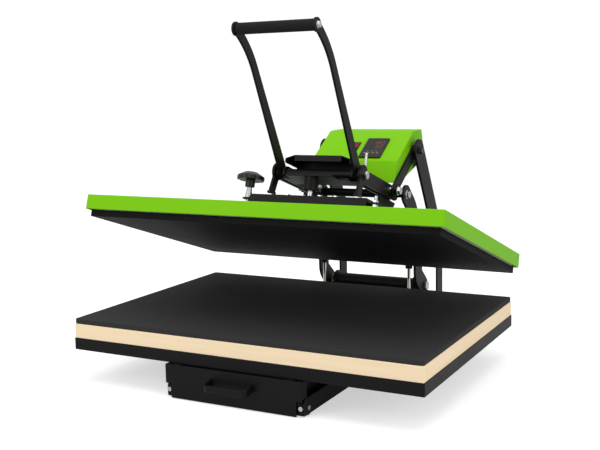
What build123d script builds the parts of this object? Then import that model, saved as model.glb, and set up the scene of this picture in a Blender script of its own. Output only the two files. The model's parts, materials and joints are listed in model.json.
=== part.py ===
"""Slide-out heat press: a pull-out lower table under a tilting heated head with a lever handle."""
from build123d import *
import math
import os

# Frame: millimetres, X to the operator's right, Y to the back, Z up.
# The floor is Z 0 and the origin is the middle of the machine's outline on the floor.

# Running and standing clearances
fit_gap = 0.05
loose_gap = 0.3
side_gap = 0.5

# Lower table
table_width = 1000.0
table_depth = 700.0
table_y = -144.0
table_top = 177.0
pad_thick = 14.0
board_thick = 39.0
tray_height = 32.0
tray_sheet = 2.0
rib_width = 40.0
rib_wall = 2.5
rib_pitch = 250.0
pad_radius = 6.0

# Base rails and feet
rail_outer_x = 197.0
rail_width = 20.0
rail_height = 42.0
rail_wall = 3.0
rail_back_y = 549.5
rail_setback = -5.0
rail_nose_radius = 18.0
foot_height = 3.0
foot_radius = 14.0
cross_bar_width = 40.0

# Drawer carriage
front_gap = 2.0
front_proud = 12.0
front_sheet = 3.0
front_return = 24.0
front_floor_gap = 2.5
notch_gap = 1.5
notch_drop = 5.0
notch_inset = 4.0
front_fold = 20.0
runner_wall = 3.0
runner_side_gap = 3.0
runner_flange = 20.0
runner_back_y = 162.0
front_roller_radius = 13.0
front_roller_setback = 26.0
back_roller_y = 136.0
roller_width = 13.0
roller_axle_radius = 4.0
runner_rail_thick = 4.0

# Drawer pull
pull_width = 120.0
pull_reach = 34.0
pull_strap = 5.0
pull_height = 18.0
pull_drop_angle = 10.0
pull_corner = 10.0
pull_root_z = 58.0

# Heated head, laid out in its own plane: x across, v towards the back, h above its hot face
open_angle = 18.1
hinge_y = 392.5
hinge_z = 147.0
press_gap = 0.8
platen_setback = 9.7
platen_width = 1009.0
platen_depth = 644.0
platen_thick = 18.0
cover_overhang = 11.0
cover_height = 40.0
cover_sheet = 2.0
element_radius = 4.0
element_passes = 6
insulation_thick = 28.0
post_radius = 8.0
screw_radius = 4.0
mount_plate_thick = 4.0
mount_plate_half = 162.0
mount_front_v = -46.0
mount_back_v = 236.0
mount_bolt_x = 149.0
mount_bolt_front_v = -26.0
mount_bolt_back_v = 196.0
cover_screw_x = 420.0
cover_screw_v = 250.0

# Handle fork and its eccentric
swing_deg = 50.0
eccentricity = 6.0
lever_v = 34.0
arm_h = 211.0
lever_shaft_radius = 8.0
lever_head_ratio = 1.5
lever_head_height = 9.0
torsion_tube_radius = 13.0
fork_half = 116.0
fork_thick = 7.0
fork_root_width = 39.0
fork_bend_width = 28.0
fork_eye_radius = 19.0
fork_bend_v = -243.0
fork_bend_h = 495.0
fork_bend_run = 66.0
grip_v = -317.0
grip_h = 520.0
grip_radius = 16.0
grip_core_radius = 12.5
grip_rod_radius = 5.0
eccentric_radius = 18.0
link_thick = 7.0
link_width = 28.0
link_eye_wall = 7.0
link_eye_gap = 0.9
link_foot_v = 11.0
link_foot_h = 150.0
link_foot_height = 8.0

# Press arm
outer_arm_plane = 124.0
outer_arm_thick = 8.0
inner_arm_plane = 104.0
inner_arm_thick = 8.0
arm_width = 40.0
box_pivot_v = 239.0
cross_tube_v = 292.0
cross_tube_radius = 12.5
cross_neck_radius = 10.0
swing_plane = 160.5
swing_thick = 8.0
swing_width = 58.0
hinge_shaft_radius = 10.0
hinge_tube_radius = 21.0
hinge_tube_wall = 5.0
pivot_bolt_radius = 7.0
pivot_collar_radius = 11.0
pivot_nut_radius = 12.0
pivot_nut_height = 6.0
stop_stud_v = 56.0
stop_stud_radius = 3.6
stop_stud_length = 50.0

# Pressure housing between the inner arms
housing_wall = 4.0
housing_front_v = 8.0
housing_back_v = 88.0
housing_top_h = 260.0
housing_floor_h = 190.0
housing_floor_thick = 6.0
housing_side_h = 237.0
housing_lip = 18.0
housing_nose_v = -34.0
housing_nose_half = 74.0
housing_bevel_x = 29.0
housing_bevel_h = 9.5
guide_bush_radius = 19.5
guide_bush_foot_h = 152.0
guide_pin_radius = 7.0
guide_v = -12.0

# Press beam over the head
beam_half = 183.0
beam_front_v = -30.0
beam_back_v = 30.0
beam_top_h = 135.0
beam_height = 40.0
beam_wall = 5.0
lug_half = 212.0
lug_top_h = 126.0
lug_depth = 28.0
beam_bolt_columns = (27.0, 76.0)
beam_bolt_radius = 5.0
beam_nut_height = 7.0
knob_x = 200.5
knob_v = -8.0
level_stud_rise = 19.0
knob_radius = 40.0
knob_base_h = 178.0
knob_height = 23.0
knob_hub_radius = 14.0
knob_hub_height = 20.0
knob_bore_depth = 10.0
knob_scallops = 10
knob_scallop_radius = 9.0
stud_radius = 6.0
stud_nut_ratio = 1.75
stud_nut_height = 8.5
level_stud_radius = 4.5
level_nut_height = 6.0
bracket_plane = 114.0
bracket_thick = 8.0
bracket_back_v = 321.0
bracket_back_h = 188.0
ear_radius = 20.0

# Control box and the links that keep it level
link_bar_thick = 8.0
link_bar_width = 34.0
brace_gap = 6.0
link_bar_boss = 9.0
brace_thick = 8.0
brace_width = 70.0
top_pivot_y = 364.0
top_pivot_z = 579.0
brace_foot_y = 512.0
brace_foot_z = 325.0
brace_slack = 1.7
box_half = 143.0
box_sheet = 2.0
controller_width = 72.0
controller_length = 100.0
controller_x = 46.4
controller_s = 61.0
controller_depth = 34.0
controller_proud = 5.0
display_width = 60.0
display_length = 50.0
display_shift = 14.0
button_width = 10.0
button_length = 6.5
button_pitch = 14.0
button_s = 31.0
button_depth = 4.0
button_proud = 1.2
button_travel = 1.0
switch_width = 28.0
switch_length = 44.0
switch_x = -22.0
switch_s = 71.0
switch_proud = 2.0
switch_depth = 24.0
rocker_throw = 20.0
inlet_width = 50.0
inlet_height = 32.0
inlet_x = 70.0

# Rear uprights and hinge stands
upright_plane = 171.0
upright_thick = 6.0
upright_width = 50.0
stand_plane = 134.0
stand_thick = 8.0
stand_eye = 29.0
stand_foot = 112.0
bush_wall = 4.0
deck_front_y = 292.0
deck_back_y = 452.0
deck_thick = 6.0

# Gas springs
spring_x = 146.5
spring_foot_y = 311.0
spring_foot_z = 117.0
spring_head_y = 318.0
spring_head_z = 385.0
cylinder_radius = 11.0
cylinder_length = 150.0
rod_radius = 5.0
spring_eye_radius = 9.0
spring_eye_width = 12.0
spring_neck_radius = 4.5
cylinder_neck = 20.0
bracket_ear = 5.0
spring_pin_radius = 4.0
spring_slack = 1.2

# Fasteners
hex_ratio = 1.7
washer_thick = 1.5

# Worked-out places
pad_bottom = table_top - pad_thick
board_bottom = pad_bottom - board_thick
tray_bottom = board_bottom - tray_height
tray_floor_top = tray_bottom + tray_sheet
table_front_y = table_y - table_depth / 2
rail_inner_x = rail_outer_x - rail_width
rail_top = foot_height + rail_height
rail_front_y = table_front_y + rail_setback
rail_floor_top = foot_height + rail_wall
rail_roof = rail_top - rail_wall
front_face_y = table_front_y - front_proud
front_back_y = front_face_y + front_sheet
front_roller_y = rail_front_y + front_roller_setback
front_roller_z = rail_floor_top + front_roller_radius + loose_gap
runner_bottom = front_roller_z + front_roller_radius + loose_gap
back_roller_radius = (rail_roof - rail_floor_top) / 2 - loose_gap
back_roller_z = (rail_roof + rail_floor_top) / 2
runner_x = rail_inner_x - runner_side_gap - runner_wall
deck_z = rail_top
deck_top = deck_z + deck_thick
outer_arm_face = outer_arm_plane + outer_arm_thick
eccentric_x = outer_arm_face + side_gap
eccentric_width = link_thick + 2 * side_gap
link_plane = eccentric_x + side_gap
link_bar_plane = box_half
link_bar_face = link_bar_plane + link_bar_thick
brace_plane = link_bar_face + brace_gap

head_travel = 2 * eccentricity * math.sin(math.radians(swing_deg / 2))
tilt = math.radians(open_angle)
cos_t = math.cos(tilt)
sin_t = math.sin(tilt)
closed_y = table_y + platen_setback
closed_z = table_top + press_gap + head_travel
head_y = hinge_y + (closed_y - hinge_y) * cos_t + (closed_z - hinge_z) * sin_t
head_z = hinge_z - (closed_y - hinge_y) * sin_t + (closed_z - hinge_z) * cos_t


def head_point(v, h):
    """World Y and Z of a point of the head's own plane."""
    return (head_y + v * cos_t + h * sin_t, head_z - v * sin_t + h * cos_t)


HEAD = Plane(origin=(0, head_y, head_z), x_dir=(1, 0, 0), z_dir=(0, sin_t, cos_t))
HEAD_UP = Axis(HEAD.origin, HEAD.z_dir)
HEAD_SIDE = Plane(origin=(0, head_y, head_z), x_dir=(0, cos_t, -sin_t), z_dir=(1, 0, 0))
cover_top_h = platen_thick + cover_height
mount_top_h = cover_top_h + mount_plate_thick
beam_base_h = beam_top_h - beam_height
throw_angle = math.radians(180 - swing_deg / 2)
eccentric_v = lever_v + eccentricity * math.cos(throw_angle)
eccentric_h = arm_h + eccentricity * math.sin(throw_angle)
box_pivot = head_point(box_pivot_v, arm_h)
cross_tube = head_point(cross_tube_v, arm_h)
top_pivot = (top_pivot_y, top_pivot_z)
brace_foot = (brace_foot_y, brace_foot_z)
hinge = (hinge_y, hinge_z)
spring_foot = (spring_foot_y, spring_foot_z)
spring_head = (spring_head_y, spring_head_z)
swing_path = [cross_tube, (298.0, 406.0), (344.0, 317.0), (344.0, 187.0), hinge]
swing_radii = [100.0, 120.0, 38.0]
box_side = [
    (437.0, 641.0),
    (366.0, 638.5),
    (233.0, 556.0),
    (206.0, 492.5),
    (271.0, 495.0),
    (386.0, 528.0),
    (459.0, 570.0),
]


def front_plane(y):
    """A plane facing the operator, x across and z up, at a given depth."""
    return Plane(origin=(0, y, 0), x_dir=(1, 0, 0), z_dir=(0, -1, 0))


def finish(piece, name):
    """Label a finished piece and write it to its own file."""
    piece.label = name
    export_step(piece, f"parts/{name}.step")
    print(name, len(piece.solids()), round(piece.volume))


def side_bolts(plane, points, head_x, length, radius, both=True, washer=True):
    """Bolts along X with hex heads whose seat is at head_x, pointing inwards by length."""
    with BuildPart() as bolts:
        with BuildSketch(plane.offset(head_x)):
            with Locations(*points):
                RegularPolygon(radius=radius * hex_ratio, side_count=6, rotation=15)
        extrude(amount=radius * 1.1 + washer_thick)
        if washer:
            with BuildSketch(plane.offset(head_x)):
                with Locations(*points):
                    Circle(radius * hex_ratio + 1.5)
            extrude(amount=washer_thick)
        with BuildSketch(plane.offset(head_x - length)):
            with Locations(*points):
                Circle(radius)
        extrude(amount=length)
        if both:
            mirror(about=Plane.YZ)
    return bolts.part


def plate_with_holes(plane, x0, thick, points, width, radii, holes):
    """A flat bar that follows a path of points, with round ends and round holes."""
    with BuildPart() as bar:
        with BuildSketch(plane.offset(x0)):
            with BuildLine():
                if len(points) > 2:
                    FilletPolyline(*points, radius=radii)
                else:
                    Line(*points)
            trace(line_width=width)
            with Locations(points[0], points[-1]):
                Circle(width / 2)
            for point, hole_radius in holes:
                with Locations(point):
                    Circle(hole_radius, mode=Mode.SUBTRACT)
        extrude(amount=thick)
    return bar.part


os.makedirs("parts", exist_ok=True)

# Lower table: silicone foam pad, wooden board and steel tray
with BuildPart() as press_pad:
    with BuildSketch(Plane.XY.offset(pad_bottom)):
        with Locations((0, table_y)):
            RectangleRounded(table_width, table_depth, pad_radius)
    extrude(amount=pad_thick)
    fillet(press_pad.faces().sort_by(Axis.Z)[-1].edges(), radius=1.5)
finish(press_pad.part, "press_pad")

with BuildPart() as table_board:
    with BuildSketch(Plane.XY.offset(board_bottom)):
        with Locations((0, table_y)):
            RectangleRounded(table_width, table_depth, 2.0)
    extrude(amount=board_thick)
finish(table_board.part, "table_board")

with BuildPart() as table_tray:
    with BuildSketch(Plane.XY.offset(tray_bottom)):
        with Locations((0, table_y)):
            RectangleRounded(table_width + 2 * tray_sheet, table_depth + 2 * tray_sheet, 3.0)
    extrude(amount=tray_height)
    with BuildSketch(Plane.XY.offset(tray_floor_top)):
        with Locations((0, table_y)):
            Rectangle(table_width - 2 * tray_sheet, table_depth - 2 * tray_sheet)
    extrude(amount=tray_height, mode=Mode.SUBTRACT)
finish(table_tray.part, "table_tray")

rib_length = table_width - 4 * tray_sheet
rib_height = tray_height - tray_sheet
with BuildPart() as tray_ribs:
    for step in (-1, 0, 1):
        with BuildSketch(Plane.YZ.offset(-rib_length / 2)):
            with Locations((table_y + step * rib_pitch, tray_floor_top + rib_height / 2)):
                Rectangle(rib_width, rib_height)
                Rectangle(rib_width - 2 * rib_wall, rib_height - 2 * rib_wall, mode=Mode.SUBTRACT)
        extrude(amount=rib_length)
finish(tray_ribs.part, "tray_ribs")

# Drawer carriage: runners, front panel, pull and rollers
runner_front_y = front_back_y
flange_back_y = back_roller_y - back_roller_radius - 6.0
with BuildPart() as drawer_runners:
    with BuildSketch(Plane.YZ.offset(-runner_x - runner_wall)):
        with BuildLine():
            Polyline(
                (runner_front_y, runner_bottom),
                (flange_back_y, runner_bottom),
                (back_roller_y - 14.0, back_roller_z - 12.0),
                (runner_back_y, back_roller_z - 12.0),
                (runner_back_y, tray_bottom),
                (runner_front_y, tray_bottom),
                close=True,
            )
        make_face()
        with Locations((back_roller_y, back_roller_z)):
            Circle(roller_axle_radius + fit_gap, mode=Mode.SUBTRACT)
    extrude(amount=runner_wall)
    with BuildSketch(Plane.XY.offset(runner_bottom)):
        with Locations((-runner_x - runner_wall, runner_front_y)):
            Rectangle(
                rail_width - rail_wall - side_gap + runner_side_gap,
                flange_back_y - runner_front_y,
                align=(Align.MAX, Align.MIN),
            )
    extrude(amount=runner_rail_thick)
    with BuildSketch(Plane.XY.offset(tray_bottom - runner_wall)):
        with Locations((-runner_x, runner_front_y)):
            Rectangle(runner_flange, runner_back_y - runner_front_y, align=(Align.MIN, Align.MIN))
    extrude(amount=runner_wall)
    mirror(about=Plane.YZ)
finish(drawer_runners.part, "drawer_runners")

front_top = tray_bottom - front_gap
notch_top = rail_top - notch_drop
notch_x = rail_inner_x + notch_inset
return_foot_z = rail_top + notch_gap
fold_half = runner_x - runner_flange - 1.0
fold_end_x = runner_x + runner_wall + 1.0
with BuildPart() as front_panel:
    with BuildSketch(front_plane(front_back_y)):
        with BuildLine():
            Polyline(
                (-rail_outer_x, notch_top),
                (-notch_x, notch_top),
                (-notch_x, front_floor_gap),
                (notch_x, front_floor_gap),
                (notch_x, notch_top),
                (rail_outer_x, notch_top),
                (rail_outer_x, front_top),
                (-rail_outer_x, front_top),
                close=True,
            )
        make_face()
    extrude(amount=front_sheet)
    for side in (-1, 1):
        with BuildSketch(Plane.XY.offset(return_foot_z)):
            with Locations((side * (rail_outer_x - front_sheet / 2), front_back_y)):
                Rectangle(front_sheet, front_return, align=(Align.CENTER, Align.MIN))
        extrude(amount=front_top - return_foot_z)
    with BuildSketch(Plane.XY.offset(front_top - front_sheet)):
        with Locations((0, front_back_y)):
            Rectangle(2 * fold_half, front_fold, align=(Align.CENTER, Align.MIN))
        for side in (-1, 1):
            with Locations((side * (fold_end_x + rail_outer_x) / 2, front_back_y)):
                Rectangle(rail_outer_x - fold_end_x, front_fold, align=(Align.CENTER, Align.MIN))
    extrude(amount=front_sheet)
finish(front_panel.part, "drawer_front_panel")

pull_lean = math.radians(pull_drop_angle)
PULL = Plane(
    origin=(0, front_face_y, pull_root_z),
    x_dir=(1, 0, 0),
    z_dir=(0, -math.sin(pull_lean), math.cos(pull_lean)),
)
pull_half = pull_width / 2
with BuildPart() as drawer_pull:
    with BuildSketch(PULL.offset(-pull_height / 2)):
        with BuildLine():
            FilletPolyline(
                (-pull_half, 12.0),
                (-pull_half, -pull_reach),
                (pull_half, -pull_reach),
                (pull_half, 12.0),
                radius=pull_corner,
            )
        trace(line_width=pull_strap)
    extrude(amount=pull_height)
    split(bisect_by=front_plane(front_face_y), keep=Keep.TOP)
finish(drawer_pull.part, "drawer_pull")

back_bar_y = runner_back_y - 20.0
with BuildPart() as drawer_back_bar:
    with BuildSketch(front_plane(back_bar_y)):
        with Locations((0, tray_bottom)):
            Rectangle(2 * runner_x, 40.0, align=(Align.CENTER, Align.MAX))
    extrude(amount=-runner_wall)
    for side in (-1, 1):
        with BuildSketch(front_plane(back_bar_y)):
            with Locations((side * runner_x / 2, tray_bottom - 22.0)):
                SlotOverall(90.0, 16.0)
        extrude(amount=-runner_wall, mode=Mode.SUBTRACT)
    with BuildSketch(front_plane(back_bar_y)):
        with Locations((0, tray_bottom)):
            Rectangle(2 * (runner_x - runner_flange) - 1.0, runner_wall, align=(Align.CENTER, Align.MAX))
    extrude(amount=18.0)
    for side in (-1, 1):
        with BuildSketch(front_plane(back_bar_y)):
            with Locations((side * runner_x, tray_bottom)):
                Rectangle(2 * runner_flange + 1.0, 2 * runner_wall, align=(Align.CENTER, Align.CENTER))
        extrude(amount=-runner_wall, mode=Mode.SUBTRACT)
finish(drawer_back_bar.part, "drawer_back_bar")

roller_inner_x = rail_inner_x - side_gap
with BuildPart() as back_rollers:
    with BuildSketch(Plane.YZ.offset(roller_inner_x)):
        with Locations((back_roller_y, back_roller_z)):
            Circle(back_roller_radius)
            Circle(roller_axle_radius + fit_gap, mode=Mode.SUBTRACT)
    extrude(amount=roller_width)
    mirror(about=Plane.YZ)
finish(back_rollers.part, "back_rollers")

with BuildPart() as back_axles:
    with BuildSketch(Plane.YZ.offset(runner_x - 4.0)):
        with Locations((back_roller_y, back_roller_z)):
            Circle(roller_axle_radius)
    extrude(amount=roller_inner_x + roller_width + 2.5 - (runner_x - 4.0))
    with BuildSketch(Plane.YZ.offset(runner_x - 4.0)):
        with Locations((back_roller_y, back_roller_z)):
            RegularPolygon(radius=roller_axle_radius * hex_ratio, side_count=6)
    extrude(amount=4.0)
    with BuildSketch(Plane.YZ.offset(roller_inner_x + roller_width + loose_gap)):
        with Locations((back_roller_y, back_roller_z)):
            Circle(roller_axle_radius + 2.0)
    extrude(amount=1.2)
    mirror(about=Plane.YZ)

pull_screw_x = pull_half - pull_strap / 2
pull_screw_radius = 5.0
with BuildPart() as drawer_bolts:
    add(back_axles.part)
    with BuildSketch(front_plane(front_back_y)):
        with Locations((-pull_screw_x, pull_root_z), (pull_screw_x, pull_root_z)):
            Circle(pull_screw_radius)
    extrude(amount=-3.0)
finish(drawer_bolts.part, "drawer_bolts")

front_roller_x = rail_outer_x - rail_wall - roller_width - 2.0
with BuildPart() as front_rollers:
    with BuildSketch(Plane.YZ.offset(front_roller_x)):
        with Locations((front_roller_y, front_roller_z)):
            Circle(front_roller_radius)
            Circle(roller_axle_radius + fit_gap, mode=Mode.SUBTRACT)
    extrude(amount=roller_width)
    mirror(about=Plane.YZ)
finish(front_rollers.part, "front_rollers")

# Base: rails, cross bars, feet and deck
cap_top = runner_bottom - 2.0
cap_height = cap_top - rail_floor_top
cap_thick = 4.0
cap_tab = 7.0
with BuildPart() as base_rails:
    with BuildSketch(Plane.YZ.offset(-rail_outer_x)):
        with BuildLine():
            FilletPolyline(
                (rail_back_y, foot_height),
                (rail_front_y, foot_height),
                (rail_front_y, rail_top),
                (rail_back_y, rail_top),
                radius=[6.0, rail_nose_radius],
            )
            Line((rail_back_y, rail_top), (rail_back_y, foot_height))
        make_face()
    extrude(amount=rail_width)
    with BuildSketch(Plane.YZ.offset(-rail_outer_x + rail_wall)):
        with Locations((rail_front_y - 1.0, rail_floor_top)):
            Rectangle(
                rail_back_y - rail_front_y + 2.0,
                rail_roof - rail_floor_top,
                align=(Align.MIN, Align.MIN),
            )
    extrude(amount=rail_width, mode=Mode.SUBTRACT)
    with BuildSketch(Plane.YZ.offset(-rail_outer_x)):
        with Locations((front_roller_y, front_roller_z)):
            Circle(roller_axle_radius + fit_gap)
    extrude(amount=rail_wall, mode=Mode.SUBTRACT)
    with BuildSketch(front_plane(rail_front_y + cap_thick)):
        with Locations((-rail_outer_x + rail_wall, rail_floor_top)):
            Rectangle(rail_width - rail_wall + cap_tab, cap_height, align=(Align.MIN, Align.MIN))
        with Locations((-rail_inner_x, foot_height)):
            Rectangle(cap_tab, cap_top - foot_height, align=(Align.MIN, Align.MIN))
    extrude(amount=cap_thick)
    mirror(about=Plane.YZ)
finish(base_rails.part, "base_rails")

with BuildPart() as front_axles:
    with BuildSketch(Plane.YZ.offset(rail_outer_x)):
        with Locations((front_roller_y, front_roller_z)):
            RegularPolygon(radius=roller_axle_radius * hex_ratio, side_count=6)
    extrude(amount=3.0)
    with BuildSketch(Plane.YZ.offset(front_roller_x - 2.5)):
        with Locations((front_roller_y, front_roller_z)):
            Circle(roller_axle_radius)
    extrude(amount=rail_outer_x - front_roller_x + 2.5)
    with BuildSketch(Plane.YZ.offset(front_roller_x - loose_gap - 1.2)):
        with Locations((front_roller_y, front_roller_z)):
            Circle(roller_axle_radius + 2.0)
    extrude(amount=1.2)
    mirror(about=Plane.YZ)

cap_bolt_z = cap_top - 8.0
cap_bolt_x = rail_outer_x - 7.0
cap_bolt_radius = 6.5
cap_bolt_head = 3.0
with BuildPart() as rail_end_bolts:
    for side in (-1, 1):
        with BuildSketch(front_plane(rail_front_y)):
            with Locations((side * cap_bolt_x, cap_bolt_z)):
                RegularPolygon(radius=cap_bolt_radius, side_count=6)
        extrude(amount=cap_bolt_head)

bar_places = (rail_front_y + 40.0, -120.0, 210.0)
with BuildPart() as base_cross_bars:
    with BuildSketch(Plane.XY.offset(foot_height)):
        for bar_y in bar_places:
            with Locations((0, bar_y)):
                Rectangle(2 * rail_inner_x, cross_bar_width)
    extrude(amount=rail_wall)
finish(base_cross_bars.part, "base_cross_bars")

rail_mid_x = rail_outer_x - rail_width / 2
foot_x = rail_outer_x - foot_radius
with BuildPart() as base_feet:
    with BuildSketch():
        for foot_y in (rail_front_y + 30.0, -20.0, rail_back_y - 30.0):
            with Locations((-foot_x, foot_y), (foot_x, foot_y)):
                Circle(foot_radius)
    extrude(amount=foot_height)
finish(base_feet.part, "base_feet")

with BuildPart() as rear_deck:
    with BuildSketch(Plane.XY.offset(deck_z)):
        with Locations((0, (deck_front_y + deck_back_y) / 2)):
            Rectangle(2 * rail_outer_x, deck_back_y - deck_front_y)
    extrude(amount=deck_thick)
finish(rear_deck.part, "rear_deck")

deck_bolt_points = []
for bolt_y in (deck_front_y + 16.0, deck_back_y - 16.0):
    deck_bolt_points += [(-rail_mid_x, bolt_y), (rail_mid_x, bolt_y)]
with BuildPart() as deck_bolts:
    with BuildSketch(Plane.XY.offset(deck_top)):
        with Locations(*deck_bolt_points):
            RegularPolygon(radius=7.5, side_count=6)
    extrude(amount=5.5)

# Rear uprights, tie beam and the hinge stands
tie_height = 50.0
tie_z = rail_top + tie_height / 2
tie_wall = 3.0
with BuildPart() as rear_frame:
    with BuildSketch(Plane.YZ.offset(upright_plane)):
        with BuildLine():
            Line((brace_foot_y, foot_height), brace_foot)
        trace(line_width=upright_width)
        with Locations(brace_foot):
            Circle(upright_width / 2)
            Circle(pivot_bolt_radius + fit_gap, mode=Mode.SUBTRACT)
    extrude(amount=upright_thick)
    mirror(about=Plane.YZ)
    with BuildSketch(Plane.YZ.offset(-upright_plane)):
        with Locations((brace_foot_y, tie_z)):
            Rectangle(upright_width, tie_height)
            Rectangle(upright_width - 2 * tie_wall, tie_height - 2 * tie_wall, mode=Mode.SUBTRACT)
    extrude(amount=2 * upright_plane)
finish(rear_frame.part, "rear_frame")

with BuildPart() as hinge_stand:
    with BuildSketch(Plane.YZ.offset(stand_plane)):
        with BuildLine():
            Polyline(
                (hinge_y - stand_foot / 2, deck_top),
                (hinge_y + stand_foot / 2, deck_top),
                (hinge_y + stand_eye, hinge_z),
                (hinge_y - stand_eye, hinge_z),
                close=True,
            )
        make_face()
        with Locations(hinge):
            Circle(stand_eye)
            Circle(hinge_shaft_radius + bush_wall + fit_gap, mode=Mode.SUBTRACT)
    extrude(amount=stand_thick)
    mirror(about=Plane.YZ)
    with BuildSketch(Plane.YZ.offset(-stand_plane)):
        with Locations(hinge):
            Circle(hinge_tube_radius)
            Circle(hinge_tube_radius - hinge_tube_wall, mode=Mode.SUBTRACT)
    extrude(amount=2 * stand_plane)
finish(hinge_stand.part, "hinge_stand")

with BuildPart() as hinge_bushes:
    with BuildSketch(Plane.YZ.offset(stand_plane)):
        with Locations(hinge):
            Circle(hinge_shaft_radius + bush_wall)
            Circle(hinge_shaft_radius + fit_gap, mode=Mode.SUBTRACT)
    extrude(amount=stand_thick)
    mirror(about=Plane.YZ)
finish(hinge_bushes.part, "hinge_bushes")

# Press arm: shaft, swing plates, cross tube and arm bars
shaft_end = swing_plane + swing_thick
with BuildPart() as hinge_shaft:
    with BuildSketch(Plane.YZ.offset(-shaft_end)):
        with Locations(hinge):
            Circle(hinge_shaft_radius)
    extrude(amount=2 * shaft_end)
    with BuildSketch(Plane.YZ.offset(shaft_end)):
        with Locations(hinge):
            RegularPolygon(radius=15.0, side_count=6, rotation=15)
    extrude(amount=11.0)
    mirror(about=Plane.YZ)
    with BuildSketch(Plane.YZ.offset(stand_plane + stand_thick + side_gap)):
        with Locations(hinge):
            Circle(15.0)
    extrude(amount=swing_plane - stand_plane - stand_thick - side_gap)
    with BuildSketch(Plane.YZ.offset(-stand_plane - stand_thick - side_gap)):
        with Locations(hinge):
            Circle(15.0)
    extrude(amount=-(swing_plane - stand_plane - stand_thick - side_gap))
finish(hinge_shaft.part, "hinge_shaft")

swing_holes = [
    (hinge, hinge_shaft_radius + fit_gap),
    (cross_tube, pivot_bolt_radius + fit_gap),
    (spring_head, spring_pin_radius + fit_gap),
]
with BuildPart() as swing_plates:
    add(
        plate_with_holes(
            Plane.YZ, swing_plane, swing_thick, swing_path, swing_width, swing_radii, swing_holes
        )
    )
    mirror(about=Plane.YZ)
finish(swing_plates.part, "swing_plates")

with BuildPart() as arm_cross_tube:
    with BuildSketch(Plane.YZ.offset(-swing_plane)):
        with Locations(cross_tube):
            Circle(cross_neck_radius)
    extrude(amount=2 * swing_plane)
    with BuildSketch(Plane.YZ.offset(-outer_arm_face)):
        with Locations(cross_tube):
            Circle(cross_tube_radius)
    extrude(amount=2 * outer_arm_face)
    with BuildSketch(Plane.YZ.offset(-swing_plane)):
        with Locations(cross_tube):
            Circle(pivot_bolt_radius + fit_gap)
    extrude(amount=2 * swing_plane, mode=Mode.SUBTRACT)
finish(arm_cross_tube.part, "arm_cross_tube")

lever_place = (lever_v, arm_h)
box_place = (box_pivot_v, arm_h)
tube_place = (cross_tube_v, arm_h)
outer_arm_holes = [
    (lever_place, lever_shaft_radius + fit_gap),
    (box_place, pivot_bolt_radius + fit_gap),
    (tube_place, cross_tube_radius + fit_gap),
]
inner_arm_holes = [
    (lever_place, torsion_tube_radius + fit_gap),
    (box_place, pivot_bolt_radius + fit_gap),
    (tube_place, cross_tube_radius + fit_gap),
]
arm_path = [lever_place, tube_place]
with BuildPart() as outer_arm_bars:
    add(
        plate_with_holes(
            HEAD_SIDE, outer_arm_plane, outer_arm_thick, arm_path, arm_width, None, outer_arm_holes
        )
    )
    mirror(about=Plane.YZ)
finish(outer_arm_bars.part, "outer_arm_bars")

with BuildPart() as inner_arm_bars:
    add(
        plate_with_holes(
            HEAD_SIDE, inner_arm_plane, inner_arm_thick, arm_path, arm_width, None, inner_arm_holes
        )
    )
    mirror(about=Plane.YZ)
finish(inner_arm_bars.part, "inner_arm_bars")

# Pressure housing, open to the front, with the guide bush under its floor
housing_half = inner_arm_plane
housing_inner_half = housing_half - housing_wall
bevel_inner_x = housing_half - housing_bevel_x
HEAD_FRONT = Plane(
    origin=HEAD.from_local_coords((0, housing_front_v, 0)),
    x_dir=(1, 0, 0),
    z_dir=(0, -cos_t, sin_t),
)
with BuildPart() as pressure_housing:
    with BuildSketch(HEAD_FRONT):
        with BuildLine():
            Polyline(
                (-housing_half, housing_floor_h),
                (housing_half, housing_floor_h),
                (housing_half, housing_top_h - housing_bevel_h),
                (bevel_inner_x, housing_top_h),
                (-bevel_inner_x, housing_top_h),
                (-housing_half, housing_top_h - housing_bevel_h),
                close=True,
            )
        make_face()
    extrude(amount=housing_front_v - housing_back_v)
    with BuildSketch(HEAD_FRONT):
        with BuildLine():
            Polyline(
                (-housing_inner_half, housing_floor_h + housing_floor_thick),
                (housing_inner_half, housing_floor_h + housing_floor_thick),
                (housing_inner_half, housing_top_h - housing_bevel_h - housing_wall / 2),
                (bevel_inner_x, housing_top_h - housing_wall),
                (-bevel_inner_x, housing_top_h - housing_wall),
                (-housing_inner_half, housing_top_h - housing_bevel_h - housing_wall / 2),
                close=True,
            )
        make_face()
    extrude(amount=housing_front_v - housing_back_v + housing_wall, mode=Mode.SUBTRACT)
    with BuildSketch(HEAD_FRONT):
        with Locations((0, housing_top_h - housing_wall / 2)):
            Rectangle(2 * bevel_inner_x, housing_lip - housing_wall / 2, align=(Align.CENTER, Align.MAX))
    extrude(amount=-housing_wall)
    with BuildSketch(HEAD_SIDE.offset(-housing_half)):
        with Locations((housing_front_v, housing_floor_h + housing_floor_thick)):
            Rectangle(
                housing_back_v - housing_wall - housing_front_v,
                housing_side_h - housing_floor_h - housing_floor_thick,
                align=(Align.MIN, Align.MIN),
            )
    extrude(amount=2 * housing_half, mode=Mode.SUBTRACT)
    with BuildSketch(HEAD.offset(housing_floor_h)):
        with Locations((0, housing_nose_v)):
            Rectangle(
                2 * housing_nose_half,
                housing_front_v - housing_nose_v,
                align=(Align.CENTER, Align.MIN),
            )
    extrude(amount=housing_floor_thick)
    with BuildSketch(HEAD.offset(guide_bush_foot_h)):
        with Locations((0, guide_v)):
            Circle(guide_bush_radius)
    extrude(amount=housing_floor_h - guide_bush_foot_h)
    with BuildSketch(HEAD.offset(guide_bush_foot_h)):
        with Locations((0, guide_v)):
            Circle(guide_pin_radius + fit_gap)
    extrude(amount=housing_floor_h + housing_floor_thick - guide_bush_foot_h, mode=Mode.SUBTRACT)
finish(pressure_housing.part, "pressure_housing")

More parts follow.
